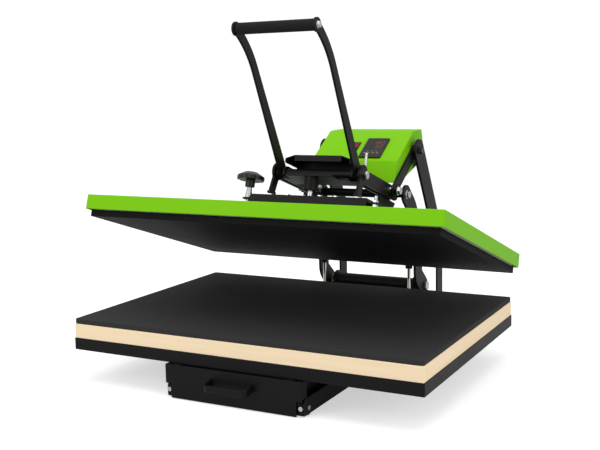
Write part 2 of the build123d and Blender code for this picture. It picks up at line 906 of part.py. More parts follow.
pivot_head_x = link_bar_face + link_bar_boss + loose_gap
with BuildPart() as box_pivot_bolts:
    add(
        side_bolts(
            HEAD_SIDE,
            [box_place],
            pivot_head_x,
            pivot_head_x - inner_arm_plane + side_gap,
            pivot_bolt_radius,
        )
    )
    with BuildSketch(HEAD_SIDE.offset(outer_arm_face)):
        with Locations(box_place):
            Circle(pivot_collar_radius)
    extrude(amount=link_bar_plane - outer_arm_face - loose_gap)
    with BuildSketch(HEAD_SIDE.offset(inner_arm_plane - side_gap - pivot_nut_height)):
        with Locations(box_place):
            RegularPolygon(radius=pivot_nut_radius, side_count=6)
    extrude(amount=pivot_nut_height)
    mirror(about=Plane.YZ)

cross_bolts = side_bolts(Plane.YZ, [cross_tube], shaft_end, 40.0, pivot_bolt_radius)
spring_studs = side_bolts(
    Plane.YZ, [spring_head], shaft_end, shaft_end - spring_x + spring_eye_width / 2 + 3.0, spring_pin_radius
)
with BuildPart() as spring_stud_clips:
    with BuildSketch(Plane.YZ.offset(spring_x - spring_eye_width / 2 - loose_gap - 1.2)):
        with Locations(spring_head):
            Circle(spring_pin_radius + 2.5)
    extrude(amount=1.2)
    with BuildSketch(Plane.YZ.offset(spring_x + spring_eye_width / 2 + loose_gap)):
        with Locations(spring_head):
            Circle(spring_pin_radius + 3.0)
    extrude(amount=swing_plane - spring_x - spring_eye_width / 2 - loose_gap)
    mirror(about=Plane.YZ)
with BuildPart() as stop_stud:
    with BuildSketch(HEAD.offset(arm_h + arm_width / 2)):
        with Locations((outer_arm_plane + outer_arm_thick / 2, stop_stud_v)):
            Circle(stop_stud_radius)
    extrude(amount=stop_stud_length)
    fillet(stop_stud.edges().sort_by(HEAD_UP)[-1], radius=stop_stud_radius - 0.8)
with BuildPart() as arm_bolts:
    add(box_pivot_bolts.part)
    add(stop_stud.part)
    add(cross_bolts)
    add(spring_studs)
    add(spring_stud_clips.part)
finish(arm_bolts.part, "arm_bolts")

# Handle: fork bars, torsion tube, shaft, eccentrics and grip
grip_place = (grip_v, grip_h)
bend_place = (fork_bend_v, fork_bend_h)
root_length = math.dist(lever_place, bend_place)
root_dir = ((fork_bend_v - lever_v) / root_length, (fork_bend_h - arm_h) / root_length)
grip_angle = math.atan2(grip_h - fork_bend_h, grip_v - fork_bend_v)
fork_turn = abs(grip_angle - math.atan2(root_dir[1], root_dir[0]))
fork_bend_radius = fork_bend_run / math.tan(fork_turn / 2)
straight_length = root_length - fork_bend_run
taper_end = (lever_v + root_dir[0] * straight_length, arm_h + root_dir[1] * straight_length)
taper_corners = []
for end, half_width in ((lever_place, fork_root_width / 2), (taper_end, fork_bend_width / 2)):
    for side in (-1, 1):
        turn_side = side if end is lever_place else -side
        taper_corners.append(
            (end[0] - root_dir[1] * half_width * turn_side, end[1] + root_dir[0] * half_width * turn_side)
        )
with BuildPart() as handle_fork:
    with BuildSketch(HEAD_SIDE.offset(fork_half)):
        with BuildLine():
            FilletPolyline(lever_place, bend_place, grip_place, radius=fork_bend_radius)
        trace(line_width=fork_bend_width)
        with BuildLine():
            Polyline(*taper_corners, close=True)
        make_face()
        with Locations(lever_place):
            Circle(fork_root_width / 2)
            Circle(lever_shaft_radius + fit_gap, mode=Mode.SUBTRACT)
        with Locations(grip_place):
            Circle(fork_eye_radius)
            Circle(grip_rod_radius + loose_gap, mode=Mode.SUBTRACT)
    extrude(amount=fork_thick)
    mirror(about=Plane.YZ)
    with BuildSketch(HEAD_SIDE.offset(-fork_half)):
        with Locations(lever_place):
            Circle(torsion_tube_radius)
            Circle(lever_shaft_radius + fit_gap, mode=Mode.SUBTRACT)
    extrude(amount=2 * fork_half)
finish(handle_fork.part, "handle_fork")

lever_half = eccentric_x + eccentric_width + loose_gap
with BuildPart() as lever_shaft:
    with BuildSketch(HEAD_SIDE.offset(-lever_half)):
        with Locations(lever_place):
            Circle(lever_shaft_radius)
    extrude(amount=2 * lever_half)
    with BuildSketch(HEAD_SIDE.offset(lever_half)):
        with Locations(lever_place):
            RegularPolygon(radius=lever_shaft_radius * lever_head_ratio, side_count=6)
    extrude(amount=lever_head_height)
    mirror(about=Plane.YZ)
finish(lever_shaft.part, "lever_shaft")

eccentric_place = (eccentric_v, eccentric_h)
with BuildPart() as eccentric_discs:
    with BuildSketch(HEAD_SIDE.offset(eccentric_x)):
        with Locations(eccentric_place):
            Circle(eccentric_radius)
        with Locations(lever_place):
            Circle(lever_shaft_radius + fit_gap, mode=Mode.SUBTRACT)
    extrude(amount=eccentric_width)
    mirror(about=Plane.YZ)
finish(eccentric_discs.part, "eccentric_discs")

with BuildPart() as handle_grip:
    with BuildSketch(HEAD_SIDE.offset(-fork_half)):
        with Locations((grip_v, grip_h)):
            Circle(grip_radius)
            Circle(grip_core_radius + fit_gap, mode=Mode.SUBTRACT)
    extrude(amount=2 * fork_half)
finish(handle_grip.part, "handle_grip")

with BuildPart() as grip_core:
    with BuildSketch(HEAD_SIDE.offset(-fork_half)):
        with Locations((grip_v, grip_h)):
            Circle(grip_core_radius)
    extrude(amount=2 * fork_half)
grip_bolts = side_bolts(
    HEAD_SIDE, [(grip_v, grip_h)], fork_half + fork_thick, fork_thick, grip_rod_radius
)
with BuildPart() as grip_rod:
    add(grip_core.part)
    add(grip_bolts)
finish(grip_rod.part, "grip_rod")

# Heated head: platen with its serpentine element, probe, insulation and cover
element_span = platen_width / 2 - 60.0
element_step = (platen_depth - 120.0) / (element_passes - 1)
element_front = -platen_depth / 2 + 60.0
element_points = []
for index in range(element_passes):
    pass_v = element_front + index * element_step
    ends = (-element_span, element_span) if index % 2 == 0 else (element_span, -element_span)
    element_points += [(ends[0], pass_v), (ends[1], pass_v)]
element_bend = element_step / 2 - 1.0
groove_gap = 0.3
groove_depth = 2 * element_radius + groove_gap
element_h = platen_thick - element_radius

with BuildPart() as heat_platen:
    with BuildSketch(HEAD):
        RectangleRounded(platen_width, platen_depth, 4.0)
    extrude(amount=platen_thick)
    with BuildSketch(HEAD.offset(platen_thick - groove_depth)):
        with BuildLine():
            FilletPolyline(*element_points, radius=element_bend)
        trace(line_width=2 * (element_radius + groove_gap))
    extrude(amount=groove_depth, mode=Mode.SUBTRACT)
finish(heat_platen.part, "heat_platen")

with BuildPart() as heating_element:
    with BuildLine(HEAD.offset(element_h)) as element_line:
        FilletPolyline(*element_points, radius=element_bend)
    with BuildSketch(Plane(origin=element_line.line @ 0, z_dir=element_line.line % 0)):
        Circle(element_radius)
    sweep(path=element_line.line)
finish(heating_element.part, "heating_element")

mount_points = [
    (-mount_bolt_x, mount_bolt_front_v),
    (mount_bolt_x, mount_bolt_front_v),
    (-mount_bolt_x, mount_bolt_back_v),
    (mount_bolt_x, mount_bolt_back_v),
]
cover_points = [
    (-cover_screw_x, -cover_screw_v),
    (cover_screw_x, -cover_screw_v),
    (-cover_screw_x, cover_screw_v),
    (cover_screw_x, cover_screw_v),
]
post_points = mount_points + cover_points
post_top = cover_top_h - cover_sheet
with BuildPart() as spacer_posts:
    with BuildSketch(HEAD.offset(platen_thick)):
        with Locations(*post_points):
            Circle(post_radius)
    extrude(amount=post_top - platen_thick)
    with BuildSketch(HEAD.offset(post_top - 14.0)):
        with Locations(*post_points):
            Circle(screw_radius + fit_gap)
    extrude(amount=14.0, mode=Mode.SUBTRACT)
finish(spacer_posts.part, "spacer_posts")

probe_place = (0.0, element_front + 2.5 * element_step)
with BuildPart() as temperature_probe:
    with BuildSketch(HEAD.offset(platen_thick)):
        with Locations(probe_place):
            RegularPolygon(radius=8.0, side_count=6)
    extrude(amount=6.0)
    with BuildSketch(HEAD.offset(platen_thick + 6.0)):
        with Locations(probe_place):
            Circle(3.5)
    extrude(amount=14.0)
finish(temperature_probe.part, "temperature_probe")

insulation_h = platen_thick + loose_gap
with BuildPart() as insulation_blanket:
    with BuildSketch(HEAD.offset(insulation_h)):
        Rectangle(platen_width - 10.0, platen_depth - 10.0)
        with Locations(*post_points):
            Circle(post_radius + loose_gap, mode=Mode.SUBTRACT)
        with Locations(probe_place):
            Circle(10.0, mode=Mode.SUBTRACT)
    extrude(amount=insulation_thick)
finish(insulation_blanket.part, "insulation_blanket")

cover_width = platen_width + 2 * cover_overhang
cover_depth = platen_depth + 2 * cover_overhang
with BuildPart() as head_cover:
    with BuildSketch(HEAD.offset(platen_thick)):
        RectangleRounded(cover_width, cover_depth, 3.0)
    extrude(amount=cover_height)
    with BuildSketch(HEAD.offset(platen_thick)):
        Rectangle(cover_width - 2 * cover_sheet, cover_depth - 2 * cover_sheet)
    extrude(amount=cover_height - cover_sheet, mode=Mode.SUBTRACT)
    with BuildSketch(HEAD.offset(post_top)):
        with Locations(*post_points):
            Circle(screw_radius + loose_gap)
    extrude(amount=cover_sheet, mode=Mode.SUBTRACT)
finish(head_cover.part, "head_cover")

with BuildPart() as cover_screws:
    with BuildSketch(HEAD.offset(cover_top_h)):
        with Locations(*cover_points):
            Circle(screw_radius * 2)
    extrude(amount=3.0)
    with BuildSketch(HEAD.offset(post_top - 12.0)):
        with Locations(*cover_points):
            Circle(screw_radius)
    extrude(amount=cover_top_h - post_top + 12.0)

# Mounting plate, side brackets and press beam
with BuildPart() as mounting_plate:
    with BuildSketch(HEAD.offset(cover_top_h)):
        with Locations((0, (mount_front_v + mount_back_v) / 2)):
            RectangleRounded(2 * mount_plate_half, mount_back_v - mount_front_v, 10.0)
        with Locations(*mount_points):
            Circle(screw_radius + loose_gap, mode=Mode.SUBTRACT)
    extrude(amount=mount_plate_thick)

with BuildPart() as mounting_bolts:
    with BuildSketch(HEAD.offset(mount_top_h)):
        with Locations(*mount_points):
            RegularPolygon(radius=screw_radius * hex_ratio, side_count=6)
    extrude(amount=5.5)
    with BuildSketch(HEAD.offset(post_top - 12.0)):
        with Locations(*mount_points):
            Circle(screw_radius)
    extrude(amount=mount_top_h - post_top + 12.0)

slot_reach = pivot_bolt_radius + loose_gap
ear_place = (box_pivot_v, arm_h + head_travel / 2)
with BuildPart() as head_brackets:
    with BuildSketch(HEAD_SIDE.offset(bracket_plane)):
        with BuildLine():
            Polyline(
                (beam_front_v, mount_top_h),
                (beam_front_v, beam_base_h),
                (beam_back_v + 90.0, beam_base_h),
                (box_pivot_v - ear_radius, arm_h),
                (box_pivot_v + ear_radius, arm_h),
                (cross_tube_v - cross_tube_radius - ear_radius / 2, bracket_back_h + side_gap),
                (cross_tube_v, bracket_back_h + side_gap),
                (bracket_back_v, bracket_back_h),
                (mount_back_v - 4.0, mount_top_h),
                close=True,
            )
        make_face()
        with Locations(ear_place):
            Circle(ear_radius)
            SlotOverall(2 * slot_reach + head_travel, 2 * slot_reach, rotation=90, mode=Mode.SUBTRACT)
    extrude(amount=bracket_thick)
    mirror(about=Plane.YZ)
with BuildPart() as head_frame:
    add(mounting_plate.part)
    add(head_brackets.part)
finish(head_frame.part, "head_frame")

beam_mid_v = (beam_front_v + beam_back_v) / 2
beam_depth = beam_back_v - beam_front_v
link_mid_x = link_plane + link_thick / 2
link_stud_places = [(-link_mid_x, link_foot_v), (link_mid_x, link_foot_v)]
beam_bolt_places = []
for bolt_x in beam_bolt_columns:
    beam_bolt_places += [(-bolt_x, beam_mid_v), (bolt_x, beam_mid_v)]
with BuildPart() as press_beam:
    with BuildSketch(HEAD.offset(beam_base_h)):
        with Locations((0, beam_mid_v)):
            Rectangle(2 * beam_half, beam_depth)
    extrude(amount=beam_height)
    with BuildSketch(HEAD.offset(beam_base_h)):
        with Locations((0, beam_mid_v)):
            Rectangle(2 * beam_half, beam_depth - 2 * beam_wall)
    extrude(amount=beam_height - beam_wall, mode=Mode.SUBTRACT)
    with BuildSketch(HEAD.offset(lug_top_h - beam_wall)):
        for side in (-1, 1):
            with Locations((side * lug_half, knob_v)):
                edge = Align.MAX if side > 0 else Align.MIN
                Rectangle(lug_half - beam_half + beam_wall, lug_depth, align=(edge, Align.CENTER))
    extrude(amount=beam_wall)
    with BuildSketch(HEAD.offset(lug_top_h)):
        for side in (-1, 1):
            with Locations((side * beam_half, knob_v)):
                edge = Align.MAX if side > 0 else Align.MIN
                Rectangle(beam_wall, lug_depth, align=(edge, Align.CENTER))
    extrude(amount=beam_top_h - beam_wall - lug_top_h)
    with BuildSketch(HEAD.offset(lug_top_h - beam_wall)):
        with Locations((-knob_x, knob_v)):
            Circle(stud_radius + loose_gap)
        with Locations((knob_x, knob_v)):
            Circle(level_stud_radius + loose_gap)
    extrude(amount=beam_wall, mode=Mode.SUBTRACT)
    with BuildSketch(HEAD.offset(beam_top_h - beam_wall)):
        with Locations(*link_stud_places):
            Circle(stud_radius + loose_gap)
        with Locations((0, guide_v)):
            Circle(guide_pin_radius + fit_gap)
        with Locations(*beam_bolt_places):
            Circle(beam_bolt_radius + fit_gap)
    extrude(amount=beam_wall, mode=Mode.SUBTRACT)
finish(press_beam.part, "press_beam")

with BuildPart() as beam_bolts:
    with BuildSketch(HEAD.offset(beam_top_h)):
        with Locations(*beam_bolt_places):
            RegularPolygon(radius=beam_bolt_radius * hex_ratio, side_count=6)
    extrude(amount=beam_nut_height)
    with BuildSketch(HEAD.offset(beam_top_h - beam_wall - beam_nut_height)):
        with Locations(*beam_bolt_places):
            RegularPolygon(radius=beam_bolt_radius * hex_ratio, side_count=6)
    extrude(amount=beam_nut_height)
    with BuildSketch(HEAD.offset(beam_top_h - beam_wall)):
        with Locations(*beam_bolt_places):
            Circle(beam_bolt_radius)
    extrude(amount=beam_wall)
with BuildPart() as head_bolts:
    add(cover_screws.part)
    add(mounting_bolts.part)
    add(beam_bolts.part)
finish(head_bolts.part, "head_bolts")

guide_pin_top = housing_floor_h + housing_floor_thick - head_travel
guide_pin_foot = beam_top_h - beam_wall
with BuildPart() as guide_pin:
    with BuildSketch(HEAD.offset(guide_pin_foot - 10.0)):
        with Locations((0, guide_v)):
            RegularPolygon(radius=12.0, side_count=6)
    extrude(amount=10.0)
    with BuildSketch(HEAD.offset(guide_pin_foot)):
        with Locations((0, guide_v)):
            Circle(guide_pin_radius)
    extrude(amount=guide_pin_top - guide_pin_foot)

# Press links with their studs and nuts
link_eye_radius = eccentric_radius + link_eye_gap
link_foot_low = link_foot_h - link_foot_height * 0.75
with BuildPart() as press_links:
    with BuildSketch(HEAD_SIDE.offset(link_plane)):
        with BuildLine():
            Line((link_foot_v, link_foot_h), eccentric_place)
        trace(line_width=link_width)
        with Locations(eccentric_place):
            Circle(link_eye_radius + link_eye_wall)
            Circle(link_eye_radius, mode=Mode.SUBTRACT)
    extrude(amount=link_thick)
    with BuildSketch(HEAD.offset(link_foot_low)):
        with Locations((link_mid_x, link_foot_v)):
            Rectangle(link_thick + 5.0, link_width + 4.0)
    extrude(amount=link_foot_height)
    mirror(about=Plane.YZ)
finish(press_links.part, "press_links")

link_stud_low = beam_top_h - beam_wall - stud_nut_height - 5.0
with BuildPart() as link_studs:
    with BuildSketch(HEAD.offset(link_stud_low)):
        with Locations(*link_stud_places):
            Circle(stud_radius)
    extrude(amount=link_foot_low - link_stud_low)
    with BuildSketch(HEAD.offset(beam_top_h)):
        with Locations(*link_stud_places):
            RegularPolygon(radius=stud_radius * stud_nut_ratio, side_count=6)
    extrude(amount=stud_nut_height)
    with BuildSketch(HEAD.offset(beam_top_h - beam_wall - stud_nut_height)):
        with Locations(*link_stud_places):
            RegularPolygon(radius=stud_radius * stud_nut_ratio, side_count=6)
    extrude(amount=stud_nut_height)

with BuildPart() as level_stud:
    with BuildSketch(HEAD.offset(cover_top_h)):
        with Locations((knob_x, knob_v)):
            Circle(2 * level_stud_radius)
    extrude(amount=4.0)
    with BuildSketch(HEAD.offset(cover_top_h)):
        with Locations((knob_x, knob_v)):
            Circle(level_stud_radius)
    extrude(amount=lug_top_h + level_stud_rise - cover_top_h)
    with BuildSketch(HEAD.offset(lug_top_h)):
        with Locations((knob_x, knob_v)):
            RegularPolygon(radius=level_stud_radius * stud_nut_ratio, side_count=6)
    extrude(amount=level_nut_height)
    with BuildSketch(HEAD.offset(lug_top_h - beam_wall - level_nut_height)):
        with Locations((knob_x, knob_v)):
            RegularPolygon(radius=level_stud_radius * stud_nut_ratio, side_count=6)
    extrude(amount=level_nut_height)
with BuildPart() as beam_studs:
    add(link_studs.part)
    add(level_stud.part)
    add(guide_pin.part)
finish(beam_studs.part, "beam_studs")

# Pressure knob on its threaded stud
with BuildPart() as pressure_knob:
    with BuildSketch(HEAD.offset(knob_base_h)):
        with Locations((-knob_x, knob_v)):
            Circle(knob_radius)
    extrude(amount=knob_height)
    chamfer(pressure_knob.edges().sort_by(HEAD_UP)[-1], length=knob_height / 2, length2=knob_radius / 2)
    with BuildSketch(HEAD.offset(knob_base_h)):
        with Locations((-knob_x, knob_v)):
            with PolarLocations(knob_radius + knob_scallop_radius * 0.7, knob_scallops):
                Circle(knob_scallop_radius)
    extrude(amount=knob_height, mode=Mode.SUBTRACT)
    with BuildSketch(HEAD.offset(knob_base_h - knob_hub_height)):
        with Locations((-knob_x, knob_v)):
            Circle(knob_hub_radius)
    extrude(amount=knob_hub_height)
    with BuildSketch(HEAD.offset(knob_base_h - knob_hub_height)):
        with Locations((-knob_x, knob_v)):
            Circle(stud_radius + fit_gap)
    extrude(amount=knob_hub_height + knob_bore_depth, mode=Mode.SUBTRACT)
finish(pressure_knob.part, "pressure_knob")

with BuildPart() as knob_stud:
    with BuildSketch(HEAD.offset(cover_top_h + loose_gap)):
        with Locations((-knob_x, knob_v)):
            Circle(stud_radius)
    extrude(amount=knob_base_h + knob_bore_depth - cover_top_h - loose_gap)
    with BuildSketch(HEAD.offset(lug_top_h + side_gap)):
        with Locations((-knob_x, knob_v)):
            Circle(knob_hub_radius - 3.0)
    extrude(amount=knob_base_h - knob_hub_height - lug_top_h - side_gap, taper=8)
finish(knob_stud.part, "knob_stud")

# Control box, carried by two link bars
box_seam = [box_side[4], box_side[5], box_side[6]]
slope_run = box_side[1][0] - box_side[2][0]
slope_rise = box_side[1][1] - box_side[2][1]
slope_length = math.hypot(slope_run, slope_rise)
SLOPE = Plane(
    origin=(0, box_side[2][0], box_side[2][1]),
    x_dir=(1, 0, 0),
    z_dir=(0, -slope_rise / slope_length, slope_run / slope_length),
)
back_run = box_side[0][0] - box_side[6][0]
back_rise = box_side[0][1] - box_side[6][1]
back_length = math.hypot(back_run, back_rise)
BOX_BACK = Plane(
    origin=(0, box_side[6][0], box_side[6][1]),
    x_dir=(-1, 0, 0),
    z_dir=(0, back_rise / back_length, -back_run / back_length),
)
controller_place = (controller_x, controller_s)
switch_place = (switch_x, switch_s)
switch_body_width = switch_width - 4.0
switch_body_length = switch_length - 3.0
inlet_place = (inlet_x, back_length / 2)
inlet_body_width = inlet_width - 5.0
inlet_body_height = inlet_height - 5.0

with BuildPart() as control_box:
    with BuildSketch(Plane.YZ.offset(-box_half)):
        with BuildLine():
            Polyline(*box_side, close=True)
        make_face()
    extrude(amount=2 * box_half)
    with BuildSketch(Plane.YZ.offset(-box_half + box_sheet)):
        with BuildLine():
            Polyline(*box_side, close=True)
        make_face()
        offset(amount=-box_sheet, kind=Kind.INTERSECTION, mode=Mode.REPLACE)
    extrude(amount=2 * (box_half - box_sheet), mode=Mode.SUBTRACT)
    with BuildSketch(Plane.YZ.offset(-box_half + box_sheet)):
        with BuildLine():
            Polyline(*box_seam)
        trace(line_width=2 * box_sheet)
    extrude(amount=2 * (box_half - box_sheet), mode=Mode.SUBTRACT)
    with BuildSketch(SLOPE.offset(-2 * box_sheet)):
        with Locations(controller_place):
            Rectangle(controller_width - 5.5, controller_length - 5.5)
        with Locations(switch_place):
            Rectangle(switch_body_width + 0.5, switch_body_length + 0.5)
    extrude(amount=3 * box_sheet, mode=Mode.SUBTRACT)
    with BuildSketch(BOX_BACK.offset(-2 * box_sheet)):
        with Locations(inlet_place):
            Rectangle(inlet_body_width + 0.5, inlet_body_height + 0.5)
    extrude(amount=3 * box_sheet, mode=Mode.SUBTRACT)
    with BuildSketch(Plane.YZ.offset(-box_half)):
        with Locations(top_pivot):
            Circle(pivot_bolt_radius + fit_gap)
    extrude(amount=2 * box_half, mode=Mode.SUBTRACT)
finish(control_box.part, "control_box")

with BuildPart() as box_base_cover:
    with BuildSketch(Plane.YZ.offset(-box_half + box_sheet + side_gap)):
        with BuildLine():
            Polyline(*box_side, close=True)
        make_face()
        with BuildLine():
            Polyline(*box_seam)
        trace(line_width=2 * box_sheet, mode=Mode.INTERSECT)
    extrude(amount=2 * (box_half - box_sheet - side_gap))
finish(box_base_cover.part, "box_base_cover")

button_places = []
for index in range(4):
    button_places.append((controller_x + (index - 1.5) * button_pitch, button_s))
button_floor = controller_proud - button_depth
with BuildPart() as temperature_controller:
    with BuildSketch(SLOPE):
        with Locations(controller_place):
            RectangleRounded(controller_width, controller_length, 4.0)
    extrude(amount=controller_proud)
    with BuildSketch(SLOPE):
        with Locations(controller_place):
            Rectangle(controller_width - 6.0, controller_length - 6.0)
    extrude(amount=-controller_depth)
    with BuildSketch(SLOPE.offset(controller_proud - 1.0)):
        with Locations((controller_x, controller_s + display_shift)):
            RectangleRounded(display_width, display_length, 2.0)
    extrude(amount=1.0, mode=Mode.SUBTRACT)
    with BuildSketch(SLOPE.offset(button_floor)):
        with Locations(*button_places):
            RectangleRounded(button_width + 0.6, button_length + 0.6, 1.5)
    extrude(amount=button_depth, mode=Mode.SUBTRACT)
finish(temperature_controller.part, "temperature_controller")

button_names = ("button_set", "button_shift", "button_down", "button_up")
for name, place in zip(button_names, button_places):
    with BuildPart() as button:
        with BuildSketch(SLOPE.offset(button_floor + button_travel + loose_gap)):
            with Locations(place):
                RectangleRounded(button_width, button_length, 1.2)
        extrude(amount=button_depth + button_proud - button_travel - loose_gap)
    finish(button.part, name)

switch_wall = 1.2
rocker_well = 13.0
with BuildPart() as switch_frame:
    with BuildSketch(SLOPE):
        with Locations(switch_place):
            RectangleRounded(switch_width, switch_length, 2.0)
    extrude(amount=switch_proud)
    with BuildSketch(SLOPE):
        with Locations(switch_place):
            Rectangle(switch_body_width, switch_body_length)
    extrude(amount=-switch_depth)
    with BuildSketch(SLOPE.offset(switch_proud)):
        with Locations(switch_place):
            Rectangle(switch_body_width - 2 * switch_wall, switch_body_length - 2 * switch_wall)
    extrude(amount=-rocker_well, mode=Mode.SUBTRACT)
finish(switch_frame.part, "switch_frame")

rocker_half = switch_body_width / 2 - switch_wall - 0.35
rocker_reach = switch_body_length / 2 - switch_wall - 0.9
rocker_rise = rocker_reach * math.tan(math.radians(rocker_throw / 2))
rocker_lean = math.atan2(slope_rise, slope_run) - math.radians(rocker_throw / 2)
ROCKER_SIDE = Plane(
    origin=SLOPE.from_local_coords((switch_x, switch_s, switch_proud)),
    x_dir=(0, math.cos(rocker_lean), math.sin(rocker_lean)),
    z_dir=(1, 0, 0),
)
with BuildPart() as switch_rocker:
    with BuildSketch(ROCKER_SIDE.offset(-rocker_half)):
        with BuildLine():
            Polyline(
                (-rocker_reach, rocker_rise),
                (0, 0),
                (rocker_reach, rocker_rise),
                (rocker_reach, -4.0),
                (4.0, -9.0),
                (-4.0, -9.0),
                (-rocker_reach, -4.0),
                close=True,
            )
        make_face()
    extrude(amount=2 * rocker_half)
finish(switch_rocker.part, "switch_rocker")

with BuildPart() as power_inlet:
    with BuildSketch(BOX_BACK):
        with Locations(inlet_place):
            RectangleRounded(inlet_width, inlet_height, 3.0)
    extrude(amount=2.5)
    with BuildSketch(BOX_BACK):
        with Locations(inlet_place):
            Rectangle(inlet_body_width, inlet_body_height)
    extrude(amount=-22.0)
    with BuildSketch(BOX_BACK.offset(2.5)):
        with Locations(inlet_place):
            RectangleRounded(inlet_body_width - 4.0, inlet_body_height - 5.0, 3.0)
    extrude(amount=-16.0, mode=Mode.SUBTRACT)
    with BuildSketch(BOX_BACK.offset(-14.0)):
        for pin_x in (-7.0, 0.0, 7.0):
            with Locations((inlet_x + pin_x, back_length / 2)):
                Rectangle(2.0, 5.0)
    extrude(amount=12.0)
finish(power_inlet.part, "power_inlet")

link_path = [box_pivot, top_pivot]
link_holes = [(box_pivot, pivot_bolt_radius + fit_gap), (top_pivot, pivot_bolt_radius + fit_gap)]
with BuildPart() as link_bars:
    add(
        plate_with_holes(
            Plane.YZ, link_bar_plane, link_bar_thick, link_path, link_bar_width, None, link_holes
        )
    )
    with BuildSketch(Plane.YZ.offset(link_bar_face)):
        with Locations(box_pivot):
            Circle(link_bar_width / 2 - 2.0)
            Circle(pivot_bolt_radius + fit_gap, mode=Mode.SUBTRACT)
    extrude(amount=link_bar_boss)
    mirror(about=Plane.YZ)
finish(link_bars.part, "link_bars")

brace_face = brace_plane + brace_thick
top_bolt_seat = brace_face + loose_gap
carrier_pins = side_bolts(
    Plane.YZ, [top_pivot], top_bolt_seat, top_bolt_seat - box_half + 6.0, pivot_bolt_radius
)
with BuildPart() as carrier_bolts:
    add(carrier_pins)
    with BuildSketch(Plane.YZ.offset(link_bar_face)):
        with Locations(top_pivot):
            Circle(pivot_bolt_radius + 6.0)
    extrude(amount=brace_plane - link_bar_face - loose_gap)
    with BuildSketch(Plane.YZ.offset(box_half - box_sheet - 6.0)):
        with Locations(top_pivot):
            RegularPolygon(radius=12.0, side_count=6)
    extrude(amount=6.0)
    mirror(about=Plane.YZ)
finish(carrier_bolts.part, "carrier_bolts")

brace_path = [top_pivot, brace_foot]
brace_holes = [(top_pivot, pivot_bolt_radius + brace_slack), (brace_foot, pivot_bolt_radius + fit_gap)]
with BuildPart() as rear_braces:
    add(
        plate_with_holes(
            Plane.YZ, brace_plane, brace_thick, brace_path, brace_width, None, brace_holes
        )
    )
    mirror(about=Plane.YZ)
finish(rear_braces.part, "rear_braces")

# Gas springs on their deck brackets
spring_dy = spring_head_y - spring_foot_y
spring_dz = spring_head_z - spring_foot_z
spring_length = math.hypot(spring_dy, spring_dz)
cylinder_base = spring_length - cylinder_neck - cylinder_length
eye_inner_x = spring_x - spring_eye_width / 2
SPRING = Plane(
    origin=(spring_x, spring_foot_y, spring_foot_z),
    x_dir=(1, 0, 0),
    z_dir=(0, spring_dy / spring_length, spring_dz / spring_length),
)
with BuildPart() as gas_cylinders:
    with BuildSketch(SPRING.offset(cylinder_base)):
        Circle(cylinder_radius)
    extrude(amount=cylinder_length)
    with BuildSketch(SPRING.offset(cylinder_base + 8.0)):
        Circle(cylinder_radius - 2.0)
    extrude(amount=cylinder_length - 12.0, mode=Mode.SUBTRACT)
    with BuildSketch(SPRING.offset(cylinder_base)):
        Circle(rod_radius + fit_gap)
    extrude(amount=8.0, mode=Mode.SUBTRACT)
    with BuildSketch(SPRING.offset(spring_length - cylinder_neck)):
        Circle(spring_neck_radius)
    extrude(amount=cylinder_neck)
    with BuildSketch(Plane.YZ.offset(eye_inner_x)):
        with Locations(spring_head):
            Circle(spring_eye_radius)
    extrude(amount=spring_eye_width)
    with BuildSketch(Plane.YZ.offset(eye_inner_x)):
        with Locations(spring_head):
            Circle(spring_pin_radius + spring_slack)
    extrude(amount=spring_eye_width, mode=Mode.SUBTRACT)
    mirror(about=Plane.YZ)
finish(gas_cylinders.part, "gas_cylinders")

with BuildPart() as gas_rods:
    with BuildSketch(SPRING):
        Circle(rod_radius)
    extrude(amount=cylinder_base + cylinder_length - 46.0)
    with BuildSketch(SPRING.offset(cylinder_base + cylinder_length - 56.0)):
        Circle(cylinder_radius - 2.0 - loose_gap)
    extrude(amount=10.0)
    with BuildSketch(Plane.YZ.offset(eye_inner_x)):
        with Locations(spring_foot):
            Circle(spring_eye_radius)
    extrude(amount=spring_eye_width)
    with BuildSketch(Plane.YZ.offset(eye_inner_x)):
        with Locations(spring_foot):
            Circle(spring_pin_radius + fit_gap)
    extrude(amount=spring_eye_width, mode=Mode.SUBTRACT)
    mirror(about=Plane.YZ)
finish(gas_rods.part, "gas_rods")

ear_inner_x = eye_inner_x - 1.0 - bracket_ear
ear_outer_x = eye_inner_x + spring_eye_width + 1.0
with BuildPart() as spring_brackets:
    with BuildSketch(Plane.XY.offset(deck_top)):
        with Locations((spring_x, spring_foot_y)):
            Rectangle(spring_eye_width + 2.0 + 2 * bracket_ear, 36.0)
    extrude(amount=bracket_ear)
    for ear_x in (ear_inner_x, ear_outer_x):
        with BuildSketch(Plane.YZ.offset(ear_x)):
            with BuildLine():
                Polyline(
                    (spring_foot_y - 16.0, deck_top),
                    (spring_foot_y + 16.0, deck_top),
                    (spring_foot_y + 11.0, spring_foot_z),
                    (spring_foot_y - 11.0, spring_foot_z),
                    close=True,
                )
            make_face()
            with Locations(spring_foot):
                Circle(11.0)
        extrude(amount=bracket_ear)
        with BuildSketch(Plane.YZ.offset(ear_x)):
            with Locations(spring_foot):
                Circle(spring_pin_radius + fit_gap)
        extrude(amount=bracket_ear, mode=Mode.SUBTRACT)
    mirror(about=Plane.YZ)
finish(spring_brackets.part, "spring_brackets")

